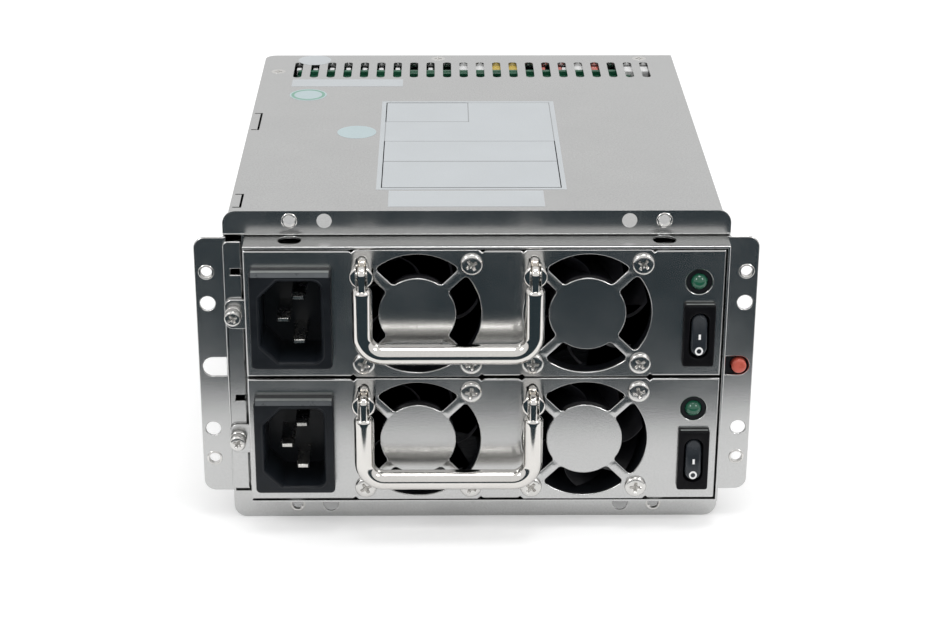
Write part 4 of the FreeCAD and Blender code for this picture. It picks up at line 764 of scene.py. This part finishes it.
@dataclass
class Supply:
    """One of the two supplies, with its fittings made finer than their solids.

    The places are off the middle of the supply's front, and the rise is that middle's height.
    """

    workshop: Workshop
    prefix: str
    rise: float
    front: float = -8.2
    fans: tuple[float, float] = (-17.7, 32.7)
    spread: float = 16.0
    hub: float = 11.2
    handle_y: float = -16.2
    rod: float = 3.0
    post: float = 3.5
    post_height: float = 10.6
    slot: float = 3.1
    slot_depth: float = 2.9
    lock: complex = -72.6 - 2.5j
    tab: float = -2.3
    switch_place: complex = 65.9 - 6.5j
    switch_size: tuple[float, float] = (9.4, 20.0)
    switch_rise: float = 2.0
    lamp_place: complex = 65.4 + 10.2j
    lamp_radius: float = 2.5
    inlet_place: complex = -54.9 - 0.7j
    inlet_size: tuple[float, float] = (24.0, 30.6)
    inlet_rise: float = 4.2

    def body(self, name: str = "supply") -> str:
        """The name of one of this supply's bodies."""
        return f"{self.prefix}_{name}"

    def at(self, place: complex) -> complex:
        """A place of this supply on the whole front."""
        return place + 1j * self.rise

    def screws(self) -> None:
        """Fan screws, each turned its own way, and the captive lock screw."""
        corners = [x + corner * self.spread for x in self.fans for corner in (1 + 1j, -1 - 1j, 1 - 1j)]
        turns = [(13.0 + 37.0 * number + self.rise) % 90.0 for number in range(len(corners))]
        heads = [FAN_SCREW.shell(self.at(place), self.front, turn) for place, turn in zip(corners, turns)]
        self.make("fan_screw_heads", heads, "bright_screw", "bright_screw", ("fan_screws",))
        middle = self.at(self.lock)
        profile = [(2.6, 0.1), (2.6, -0.6), (2.4, -0.8), (1.9, -0.8), (1.9, -1.7)]
        collar = Shell.lathe([(radius, self.tab + depth) for radius, depth in profile], middle)
        top = LOCK_SCREW.shell(middle, self.tab - 1.6, 46.0 - 0.8 * self.rise)
        self.make("lock_screw_head", [collar, top], "bright_screw", "bright_screw", ("lock_screw",))

    def make(
        self,
        name: str,
        shells: list[Shell],
        finish: str,
        slot: str,
        nodes: tuple[str, ...] = (),
        body: str = "supply",
    ) -> None:
        """Makes one piece of this supply.

        Args:
            name: the piece's name after the prefix.
            shells: its shells.
            finish: its finish.
            slot: not used, only passed on to the workshop.
            nodes: the nodes that it replaces, after the prefix.
            body: the body that it rides on, after the prefix.
        """
        stands_for = tuple(f"{self.prefix}_{node}" for node in nodes)
        self.workshop.piece(f"{self.prefix}_{name}", shells, finish, self.body(body), slot, stands_for)

    def posts(self) -> None:
        """Slotted posts: a round foot, and two cheeks that are a circle less its slot."""
        tip, foot = self.front - self.post_height, self.handle_y + self.slot_depth
        shells = []
        inset, drop = rim(0.7)
        for x in self.fans:
            centre = self.at(x + self.spread * (-1 + 1j))
            shells.append(Shell.lathe([(self.post, self.front + 0.3), (self.post, foot + 0.05)], centre))
            for side in (1.0, -1.0):
                loops = []
                for back, depth in [(0.0, foot + 0.1), *zip(inset, tip + drop), (1.0, tip), (1.35, tip)]:
                    radius, wall = self.post - back, self.slot / 2 + 0.35 * back
                    reach = math.acos(min(0.999, wall / radius))
                    arc = radius * np.exp(1j * np.linspace(-reach, reach, 33))
                    chord = wall + 1j * np.linspace(arc[-1].imag, arc[0].imag, 12)[1:-1]
                    flat = np.concatenate([arc, chord])
                    flat = flat if side > 0 else -flat.conjugate()
                    loops.append(at_depth(flat + centre, depth))
                shells.append(Shell.loft(loops))
        self.make("slotted_posts", shells, "chrome", "chrome", ("handle_posts",))

    def pins(self) -> None:
        """Cross pins through the posts, with bevelled ends."""
        ring = circle(0.9, count=32)
        ends = [(0.75, -3.38), (1.0, -3.2), (1.0, 3.2), (0.75, 3.38)]
        loops = [
            np.stack([np.full(ring.shape, shift), share * ring.real, share * ring.imag], -1)
            for share, shift in ends
        ]
        level = self.rise + self.spread
        pins = [Shell.loft(loops).moved(x - self.spread, self.handle_y, level) for x in self.fans]
        self.make("hinge_pins", pins, "bright_screw", "chrome", ("handle_pins",))

    def handle(self) -> None:
        """Bail: a round rod carried along a bracket shape, with round shoulders and flat tongues."""
        bend, drop, shoulder, cap = 6.0, 25.4, 4.3, 1.5
        left, right = (x - self.spread for x in self.fans)
        top = self.rise + self.spread - shoulder
        low = self.rise + self.spread - drop
        quarter = np.linspace(0.0, np.pi / 2, 15)
        crown = cap * (1 - np.cos(np.linspace(0.0, np.pi / 2, 9)))
        leg = np.concatenate([crown, np.linspace(2.4, top - low - bend, 12)])
        down = left + 1j * (top - leg)
        corner = left + bend + 1j * (low + bend) - bend * np.exp(1j * quarter)
        bar = np.linspace(left + bend, (left + right) / 2, 16)[1:] + 1j * low
        half = np.concatenate([down, corner[1:], bar])
        path = np.concatenate([half, (left + right) - half[-2::-1].conjugate()])
        tangent = np.concatenate([np.full(len(leg), -1j), -1j * np.exp(1j * quarter[1:]), np.ones(len(bar))])
        tangent = np.concatenate([tangent, tangent[-2::-1].conjugate()])
        end = cap * (1 - np.sqrt(np.clip(1 - (1 - leg / cap) ** 2, 0.0, 1.0))) * (leg < cap)
        radius = np.full(len(path), self.rod)
        radius[: len(leg)] -= end
        radius[-len(leg) :] -= end[::-1]
        turn = np.linspace(0.0, 2 * np.pi, 48, endpoint=False)
        flat = path[:, None] + (1j * tangent * radius)[:, None] * np.cos(turn)
        depth = self.handle_y + radius[:, None] * np.sin(turn)
        shells = [Shell.loft(list(at_depth(flat, depth)))]
        shells += [self.tongue(x, shoulder + 1.0) for x in (left, right)]
        self.make("bail", shells, "chrome", "chrome", ("handle",), "handle_bail")

    def tongue(self, x: float, length: float) -> Shell:
        """The flat end of a leg: a round end over straight sides, with softened edges.

        Args:
            x: its middle.
            length: from its pin down to its root.

        Returns:
            The shell.
        """
        inset, drop = rim(0.8, 9)
        half, thick = 2.4, 1.25
        loops = []
        for side, less in zip([*(drop[::-1] - thick), *(thick - drop)], [*inset[::-1], *inset]):
            arc = (half - less) * np.exp(1j * np.linspace(0.0, np.pi, 21))
            flat = np.concatenate([arc, [less - half - 1j * length, half - less - 1j * length]])
            place = [np.full(flat.shape, x + side), self.handle_y + flat.real]
            loops.append(np.stack([*place, self.rise + self.spread + flat.imag], -1))
        return Shell.loft(loops)

    def switch(self) -> None:
        """Switch bezel with its well, the rocker, and the marks on the rocker."""
        middle = self.at(self.switch_place)
        width, height = self.switch_size
        step, stem_end, well_depth = 1.4, 5.8, 9.5
        frame = Outline.block(width, height, 0.8, middle)
        stem = Outline.block(width - step, height - step, 0.4, middle)
        well = Outline.block(5.6, 14.5, 2.79, middle)
        face = self.front - self.switch_rise
        loops = [stem.loop(stem_end), stem.loop(self.front), frame.loop(self.front)]
        loops += [frame.loop(face + down, back) for back, down in zip(*rim(0.5))]
        lead = ((0.5, 0.0), (0.3, 0.06), (0.12, 0.2), (0.0, 0.5), (0.0, well_depth))
        loops += [well.loop(face + down, -back) for back, down in lead]
        bezel = Shell.loft(loops)
        self.make("switch_bezel", [bezel], "switch_plastic", "black_plastic", ("switch_housing",))
        self.bevel("switch_bevel", middle + 0.5j * height, width, 0.5, face)
        self.rocker(middle)

    def rocker_front(self, height: Array) -> Array:
        """The rocker's front: a hyperbola, which is a blunt ridge between two slopes.

        Args:
            height: how far up from the ridge.

        Returns:
            The depth off the rocker's axis.
        """
        blunt, out, ridge, reach = 0.02, 2.3, 1.3, 7.25
        top, side = math.sqrt(blunt), math.sqrt(1.0 + blunt)
        return -out - ridge * (side - np.sqrt((height / reach) ** 2 + blunt)) / (side - top)

    def crown(self, flat: Array) -> Array:
        """How far the rocker's front falls back from its middle line to its sides: a parabola."""
        return 0.25 * np.clip(np.abs(flat.real) / 2.45, 0.0, 1.0) ** 2

    def rocker(self, middle: complex) -> None:
        """The rocker and its marks, at the tilt of its solid.

        Args:
            middle: its axis.
        """
        capsule = Outline.block(4.9, 13.1, 2.44)
        steps = 14
        rows = [*zip(*rim(0.8, 7)), *((back, 0.0) for back in (1.1, 1.5, 1.9, 2.2, 2.4))]
        loops = [capsule.loop(1.2, steps=steps)]
        loops += [self.on_rocker(capsule.inset(back).points(steps), down) for back, down in rows]
        turn, axis = tilt_about_x(ROCKER_TILT), self.front + 0.6
        shells = [Shell.loft(loops), *self.marks()]
        cap, *marks = (shell.turned(turn).moved(middle.real, axis, middle.imag) for shell in shells)
        self.make("rocker_cap", [cap], "black_gloss", "black_plastic", ("switch_rocker",), "rocker")
        self.make("rocker_marks", marks, "white_print", "black_plastic", (), "rocker")

    def on_rocker(self, flat: Array, lift: float) -> Array:
        """Points of X and Z, put on the rocker's front or that far behind it."""
        return at_depth(flat, self.rocker_front(flat.imag) + self.crown(flat) + lift)

    def marks(self) -> list[Shell]:
        """The rocker's marks: a narrow ring for off low down, and a bar for on at the ridge.

        Returns:
            Both, before the rocker's tilt.
        """
        proud, sunk, squeeze, below = -0.035, 0.1, 0.92, 4.9
        angle = np.linspace(0.0, 2 * np.pi, 40, endpoint=False)
        oval = squeeze * np.cos(angle) + 1j * np.sin(angle)
        rows = ((0.75, sunk), (0.78, proud), (1.32, proud), (1.35, sunk))
        rings = [self.on_rocker(radius * oval - 1j * below, lift) for radius, lift in rows]
        across, along = np.meshgrid(np.linspace(-0.33, 0.33, 3), np.linspace(-1.1, 0.5, 9), indexing="ij")
        bar = Shell.sheet(*(self.on_rocker(across + 1j * along, lift) for lift in (proud, sunk)))
        return [Shell.loft(rings, ring=True), bar]

    def lamp(self) -> None:
        """Status lamp with its domed tip."""
        radius, tip = self.lamp_radius, self.front - 1.6
        angles = np.linspace(0.02, np.pi / 2, 16)
        profile = [(radius * math.sin(angle), tip + radius * (1 - math.cos(angle))) for angle in angles]
        lamp = Shell.lathe([*profile, (radius, self.front + 3.0)], self.at(self.lamp_place))
        self.make("lamp", [lamp], "green_lamp", "green_lamp", ("status_led",))

    def webs(self) -> None:
        """Pressed webs of the fan guards: each crowned by a parabola across, which fades at both ends."""
        start, length, half, crown, fade = 11.4, 7.6, 1.32, 0.17, 6.0
        along, across = np.meshgrid(np.linspace(0.0, 1.0, 25), np.linspace(-1.0, 1.0, 13), indexing="ij")
        height = crown * (1 - across**2) * np.clip(fade * np.minimum(along, 1 - along), 0.0, 1.0)
        web = start + length * along + 1j * half * across
        shells = []
        for x in self.fans:
            for quarter in range(4):
                flat = web * np.exp(0.25j * np.pi * (2 * quarter + 1)) + self.at(x)
                grids = [at_depth(flat, self.front - height), at_depth(flat, self.front + 0.05)]
                shells.append(Shell.sheet(*grids))
        self.make("guard_webs", shells, "plated_steel", "plated_steel")

    def inlet(self) -> None:
        """Mains inlet: frame with a bevelled top edge, recess with two cut corners, and the blades."""
        middle = self.at(self.inlet_place)
        width, height = self.inlet_size
        face = self.front - self.inlet_rise
        step, stem_end, well_depth, bevel_size = 3.2, 13.8, 15.9, 1.1
        # Two points on the left side give the frame as many corners as the mouth has.
        six = np.array([-0.5 - 0.2j, -0.5 - 0.5j, 0.5 - 0.5j, 0.5 + 0.5j, -0.5 + 0.5j, -0.5 + 0.2j])
        corners = middle + six.real * width + 1j * six.imag * height
        frame = Outline(corners, np.array([0.0, 1.4, 1.4, 1.4, 1.4, 0.0]))
        stem = Outline(middle + six.real * (width - step) + 1j * six.imag * (height - step), np.zeros(6))
        half, tall, cut = 8.9, 12.8, 5.2
        low = np.array([-half + 1j * (cut - tall), cut - half - 1j * tall, half - 1j * tall])
        corners = np.concatenate([low, low[::-1].conjugate()])
        mouth = Outline(middle + corners, np.array([0.6, 0.6, 2.5, 2.5, 0.6, 0.6]))
        top = middle.imag + height / 2
        inset, drop = rim(0.45)
        loops = [stem.loop(stem_end), stem.loop(self.front), frame.loop(self.front)]
        for back, down in zip(inset, drop):
            flat = frame.inset(back).points()
            bevel = np.clip(flat.imag - (top - bevel_size), 0.0, bevel_size)
            loops.append(at_depth(flat, face + np.maximum(down, bevel)))
        loops.append(frame.loop(face, 1.15))
        lip = [(1.0, 0.0), (0.85, -0.12), (0.65, -0.16), (0.45, -0.12), (0.3, 0.1), (0.15, 0.35), (0.0, 0.8)]
        lip += [(0.0, well_depth)]
        loops += [mouth.loop(face + down, -back) for back, down in lip]
        housing = Shell.loft(loops)
        self.make("inlet_shell", [housing], "inlet_plastic", "black_plastic", ("inlet_housing",))
        self.bevel("inlet_bevel", middle + 0.5j * height, width, bevel_size, face)
        self.blades(middle, face + 2.0)

    def blades(self, middle: complex, tip: float) -> None:
        """The inlet's three blades, with bevelled tips.

        Args:
            middle: the inlet's middle.
            tip: the depth of their tips.
        """
        side, pitch, end = 2.3, 7.0, 19.8
        rows = [(0.55, tip), (0.35, tip + 0.2), (0.0, tip + 1.2), (0.0, end)]
        blades = []
        for place in (side + 1j * pitch, side - 1j * pitch, -side + 0j):
            outline = Outline.block(4.0, 2.0, 0.15, middle + place)
            blades.append(Shell.loft([outline.loop(depth, back, 4) for back, depth in rows]))
        self.make("inlet_blades", blades, "inlet_blade", "inlet_blade", ("inlet_pins",))

    def bevel(self, name: str, top: complex, width: float, size: float, face: float) -> None:
        """Strips along the top edge of a moulded frame, lighter than its plastic as painted highlight: one on
        the bevel, and one on the top behind it.

        Args:
            name: the piece's name.
            top: the middle of the frame's top edge.
            width: the frame's width.
            size: how far the bevel goes down and back.
            face: the depth of the frame's face.
        """
        reach = np.linspace(-1.0, 1.0, 9) * (width / 2 - 0.6)
        across, down = np.meshgrid(reach, np.linspace(0.02, 0.95, 5), indexing="ij")
        front = at_depth(top + across - 1j * size * down, face + size * (1.0 - down) - 0.03)
        strip = Shell.sheet(front, front + np.array([0.0, 0.1, -0.1]))
        # The bevel strip: painted highlight, lighter than the frame's plastic.
        self.make(name, [strip], "painted_bevel_highlight", "black_plastic")
        across, behind = np.meshgrid(reach, np.linspace(0.06, 1.0, 5), indexing="ij")
        above = at_depth(top + across + 0.03j, face + size + 1.6 * size * behind)
        strip = Shell.sheet(above, above - np.array([0.0, 0.0, 0.1]))
        # The strip on the top: painted highlight, much lighter than the frame's plastic.
        self.make(name.replace("bevel", "top"), [strip], "painted_top_highlight", "black_plastic")

    def rotor(self, side: str, x: float) -> None:
        """Fan rotor: a cup-shaped hub, and blades whose chord is an arc that leans and widens to the tip.

        Args:
            side: left or right.
            x: its axis.
        """
        near, far, end, boss = self.front + 2.2, 13.8, 19.2, 1.5
        cup = [(0.05, near), (9.6, near), (10.6, near + 0.3), (self.hub, near + 1.0)]
        cup += [(self.hub, far), (10.4, far), (boss, far), (boss, end)]
        shells = [Shell.lathe(cup, self.at(x))]
        root, reach, count = 10.9, 7.2, 7
        out, along = np.meshgrid(
            np.linspace(root, root + reach, 13), np.linspace(-1.0, 1.0, 15), indexing="ij"
        )
        grown = (out - root) / reach
        for blade in range(count):
            chord = 3.2 + 2.1 * grown
            lag = 2.0 * math.pi * blade / count + 0.42 * grown**1.4
            angle = lag + chord * along / out + 0.1 * (1 - along**2)
            depth = near + 1.8 + 6.5 * (1 + along) * (0.92 + 0.08 * grown)
            thick = 0.5 * np.sqrt(np.clip(1.04 - along**2, 0.0, 1.0)) / out
            grids = [
                at_depth(out * np.exp(1j * (angle + shift * thick)) + self.at(x), depth)
                for shift in (1, -1)
            ]
            shells.append(Shell.sheet(*grids))
        node, body = f"fan_{side}_rotor", f"{side}_rotor"
        self.make(f"{side}_blades", shells, "fan_plastic", "black_plastic", (node,), body)

    def build(self) -> None:
        """Makes every piece of the supply."""
        self.screws()
        self.posts()
        self.pins()
        self.handle()
        self.switch()
        self.lamp()
        self.webs()
        self.inlet()
        for side, x in zip(("left", "right"), self.fans):
            self.rotor(side, x)


@dataclass
class Cage:
    """The cage's own small pieces: films on the roof, rims of holes, parts behind the vents, and the button.

    The two pairs of hole places are how far out and how far up or down they lie from the middle.
    """

    workshop: Workshop
    roof: float = 43.0
    vent: float = -62.2
    vent_pitch: float = 6.0
    header_top: float = 41.7
    ear_holes: tuple[float, float] = (80.4, 30.9)
    flange_holes: tuple[float, float] = (55.3, 47.2)
    button_x: float = 79.6
    button_radius: float = 2.3
    button_face: float = -1.0
    button_end: float = 4.2
    film: float = 0.05
    ink: float = 0.07
    line: float = 0.3
    sunk: float = -0.02

    def slab(self, left: float, right: float, near: float, far: float, lift: float) -> Shell:
        """A thin flat piece on the roof, between two places on X and on Y.

        Args:
            left: its left side.
            right: its right side.
            near: its front.
            far: its back.
            lift: how far it stands off the roof.

        Returns:
            The piece.
        """
        flat = np.array([[left + 1j * near, left + 1j * far], [right + 1j * near, right + 1j * far]])
        return Shell.sheet(*(at_height(flat, self.roof + level) for level in (lift, self.sunk)))

    def disc(self, x: float, y: float, outer: float, inner: float, lift: float) -> Shell:
        """A thin ring on the roof, or a disc where its inner radius is nothing.

        Args:
            x: its middle.
            y: its middle.
            outer: its outer radius.
            inner: its inner radius.
            lift: how far it stands off the roof.

        Returns:
            The piece.
        """
        rows = [(outer, self.sunk), (outer, lift)]
        if inner:
            rows = [(inner, self.sunk), (inner, lift), *rows[::-1]]
        loops = [at_height(circle(radius, x + 1j * y), self.roof + level) for radius, level in rows]
        return Shell.loft(loops, ring=bool(inner))

    def films(self) -> None:
        """Blank films on the roof: two plates, a strip and three spots, with plain ruled lines."""
        places = [(-30.8, 28.6, 37.8, 126.4), (-26.8, 21.2, 22.8, 36.8), (-63.5, -24.0, 143.8, 152.1)]
        plates = [self.slab(*place, self.film) for place in places]
        make = self.workshop.piece
        make("roof_films", plates, "silver_film", "cage", "plated_steel")
        lines = []
        boxes = [(-29.3, 27.1, 39.3, 124.9), (-29.3, 27.1, 39.3, 64.0)]
        boxes += [(-29.3, 27.1, 64.0, 84.0), (-29.3, -1.0, 104.0, 124.9)]
        for left, right, near, far in boxes:
            lines += [
                self.slab(left, right, near, near + self.line, self.ink),
                self.slab(left, right, far - self.line, far, self.ink),
                self.slab(left, left + self.line, near, far, self.ink),
                self.slab(right - self.line, right, near, far, self.ink),
            ]
        make("film_lines", lines, "grey_print", "cage", "plated_steel")
        spots = [self.disc(x, y, 6.5, 0.0, self.film) for x, y in ((-57.0, 134.1), (-38.6, 93.4))]
        make("roof_spots", spots, "blue_film", "cage", "plated_steel")
        white = self.disc(-56.8, 175.6, 6.0, 0.0, self.film)
        make("white_spot", [white], "silver_film", "cage", "plated_steel")
        ring = self.disc(-57.0, 134.1, 5.9, 4.9, self.ink)
        make("green_ring", [ring], "green_print", "cage", "plated_steel")

    def hole_rims(self) -> None:
        """Round rims of the threaded holes."""
        profile = [(1.6, 1.15), (1.6, 0.2), (1.68, -0.02), (1.85, -0.14), (2.05, -0.18), (2.25, -0.12)]
        profile += [(2.42, 0.06), (2.42, 0.5), (1.9, 1.15)]
        shells = [
            Shell.lathe(profile, side * spread + 1j * level * rise, 48, ring=True)
            for spread, rise in (self.ear_holes, self.flange_holes)
            for side in (-1, 1)
            for level in (-1, 1)
        ]
        self.workshop.piece("hole_rims", shells, "bright_screw", "cage", "bright_screw")

    def backplane_parts(self) -> None:
        """A strip along the backplane's top edge and small headers behind it, seen through the vent slots."""
        make = self.workshop.piece
        strip = self.block(-62.5, 57.0, 166.1, 168.0, 38.6)
        make("backplane_strip", [strip], "green_board", "cage", "green_board")
        pins = [(self.vent + self.vent_pitch * slot - 0.9, 1.8) for slot in (0, 1, 2, 3, 4, 5, 6, 8)]
        rows = {
            "white_headers": ("white_print", [(-4.6, 4.6), (1.4, 4.6), (37.4, 4.8), (33.9, 2.2), *pins]),
            "yellow_headers": ("transformer_tape", [(7.6, 4.4), (13.6, 4.4)]),
            "red_headers": ("red_plastic", [(25.6, 2.2), (31.4, 2.4), (44.4, 2.8)]),
        }
        for name, (finish, spots) in rows.items():
            shells = [self.block(x, x + wide, 167.9, 168.5 + 1.2 * min(wide, 4.6), 38.8) for x, wide in spots]
            if name == "white_headers":
                shells.append(self.block(55.5, 65.5, 166.1, 172.0, 38.6))
            make(name, shells, finish, "cage", "black_plastic")

    def block(self, left: float, right: float, near: float, far: float, low: float) -> Shell:
        """An upright block under the roof, between two places on X and on Y, from a level up.

        Args:
            left: its left side.
            right: its right side.
            near: its front.
            far: its back.
            low: its lower end.

        Returns:
            The block, with round corners and a softened top edge.
        """
        outline = Outline.block(right - left, far - near, 0.4, (left + right) / 2 + 0.5j * (near + far))
        rows = [(0.0, low), *((back, self.header_top - down) for back, down in zip(*rim(0.3)))]
        return Shell.loft([at_height(outline.inset(back).points(5), level) for back, level in rows])

    def button(self) -> None:
        """Red push button with a round edge and a slight dome."""
        radius, face = self.button_radius, self.button_face
        edge = [(radius - back, face + down) for back, down in zip(*rim(0.8, 8))]
        profile = [(radius, self.button_end), *edge, (0.8, face - 0.03), (0.02, face - 0.04)]
        cap = Shell.lathe(profile, self.button_x)
        node = "alarm_button"
        self.workshop.piece("button_cap", [cap], "red_plastic", node, "red_plastic", (node,))

    def build(self) -> None:
        """Makes every piece of the cage."""
        self.films()
        self.hole_rims()
        self.backplane_parts()
        self.button()


@dataclass
class Studio:
    """Floor, card, lights and camera."""

    place: Vector = field(default_factory=lambda: Vector((-0.01098, -0.60339, 0.27916)))
    lens: float = 84.67
    pitch: float = math.radians(23.385)
    yaw: float = math.radians(0.755)
    roll: float = math.radians(0.169)
    aim: Vector = field(default_factory=lambda: Vector((0.0, 0.05, 0.0)))
    floor_seen: float = 0.22
    floor_mirrored: float = 0.05
    floor_reach: float = 4.0
    card_near: float = -0.0845
    card_far: float = -1.5
    card_half: float = 1.2
    card_lift: float = 0.001
    card_tone: float = 0.035
    card_tint: Colour = (0.68, 1.0, 1.2)
    sky: float = 0.79

    def camera(self) -> None:
        """The camera, at the photograph's angle."""
        data = bpy.data.cameras.new("camera")
        data.lens = self.lens
        data.sensor_width = 36.0
        data.clip_start = 0.01
        data.clip_end = 20.0
        camera = placed("camera", data)
        tilt = Matrix.Rotation(math.pi / 2 - self.pitch, 4, "X")
        turn = Matrix.Rotation(-self.yaw, 4, "Z") @ tilt @ Matrix.Rotation(self.roll, 4, "Z")
        camera.matrix_world = Matrix.Translation(self.place) @ turn
        bpy.context.scene.camera = camera

    def flat(self, name: str, corners: list[Place], colour: Colour) -> tuple[bpy.types.Object, ...]:
        """A flat face with a matte material.

        Args:
            name: its name.
            corners: its corners in order.
            colour: its colour.

        Returns:
            The object, its material's nodes and its shader.
        """
        mesh = bpy.data.meshes.new(name)
        mesh.from_pydata(corners, [], [tuple(range(len(corners)))])
        material, tree, shader = new_material(name)
        set_inputs(shader, {"Base Color": (*colour, 1.0)})
        mesh.materials.append(material)
        return placed(name, mesh), tree, shader

    def card(self) -> None:
        """A dark card on the floor before the object, which only reflections see."""
        low = CAD_BOX[0][2] + self.card_lift
        near, far, half = self.card_near, self.card_far, self.card_half
        corners = [(-half, far, low), (half, far, low), (half, near, low), (-half, near, low)]
        colour = tuple(self.card_tone * part for part in self.card_tint)
        card, _tree, shader = self.flat("floor_card", corners, colour)
        set_inputs(shader, {"Roughness": 1.0, "Specular IOR Level": 0.0})
        card.visible_camera = False
        card.visible_diffuse = False
        card.visible_shadow = False

    def floor(self) -> None:
        """A white floor that keeps the object's shadow, and glows a little for the camera and reflections."""
        low, reach = CAD_BOX[0][2], self.floor_reach
        corners = [(-reach, -reach, low), (reach, -reach, low), (reach, reach, low), (-reach, reach, low)]
        floor, tree, shader = self.flat("floor", corners, (0.9, 0.9, 0.9))
        set_inputs(shader, {"Roughness": 0.9, "Emission Color": (1.0, 1.0, 1.0, 1.0)})
        rays = tree.nodes.new("ShaderNodeLightPath").outputs
        level = 0.0
        for ray, glow in (("Is Camera Ray", self.floor_seen), ("Is Glossy Ray", self.floor_mirrored)):
            add = tree.nodes.new("ShaderNodeMath")
            add.operation = "MULTIPLY_ADD"
            add.inputs[1].default_value = glow
            tree.links.new(rays[ray], add.inputs[0])
            if level:
                tree.links.new(level, add.inputs[2])
            else:
                add.inputs[2].default_value = 0.0
            level = add.outputs[0]
        tree.links.new(level, shader.inputs["Emission Strength"])

    def light(self, name: str, place: Place, size: tuple[float, float], watts: float) -> None:
        """A soft rectangular lamp.

        Args:
            name: its name.
            place: where it hangs.
            size: its width and height.
            watts: its power.
        """
        data = bpy.data.lights.new(name, "AREA")
        data.shape = "RECTANGLE"
        data.size, data.size_y = size
        data.energy = watts
        lamp = placed(name, data)
        lamp.location = place
        lamp.rotation_euler = (self.aim - Vector(place)).to_track_quat("-Z", "Y").to_euler()

    def world(self) -> None:
        """An even pale surrounding."""
        world = bpy.data.worlds.new("world")
        world.use_nodes = True
        look = {"Color": (1.0, 1.0, 1.0, 1.0), "Strength": self.sky}
        set_inputs(world.node_tree.nodes["Background"], look)
        bpy.context.scene.world = world

    def build(self) -> None:
        """Sets the whole studio up."""
        self.camera()
        self.world()
        self.floor()
        self.card()
        self.light("left_box", (-0.8, -0.6, 0.8), (0.25, 0.35), 2.5)
        self.light("right_box", (0.8, -0.6, 0.8), (0.25, 0.35), 2.5)
        self.light("top_box", (0.1, -0.1, 1.2), (0.5, 0.35), 3.0)
        bpy.context.scene.view_settings.view_transform = "Standard"


def main() -> None:
    """Builds the finishes, the pieces and the studio."""
    logging.basicConfig(level=logging.INFO, format="%(message)s")
    finishes = Finishes()
    Dresser(finishes).dress()
    workshop = Workshop(finishes)
    for prefix, rise in (("upper", 20.7), ("lower", -20.7)):
        Supply(workshop, prefix, rise).build()
    Cage(workshop).build()
    Studio().build()


if __name__ == "__main__":
    main()
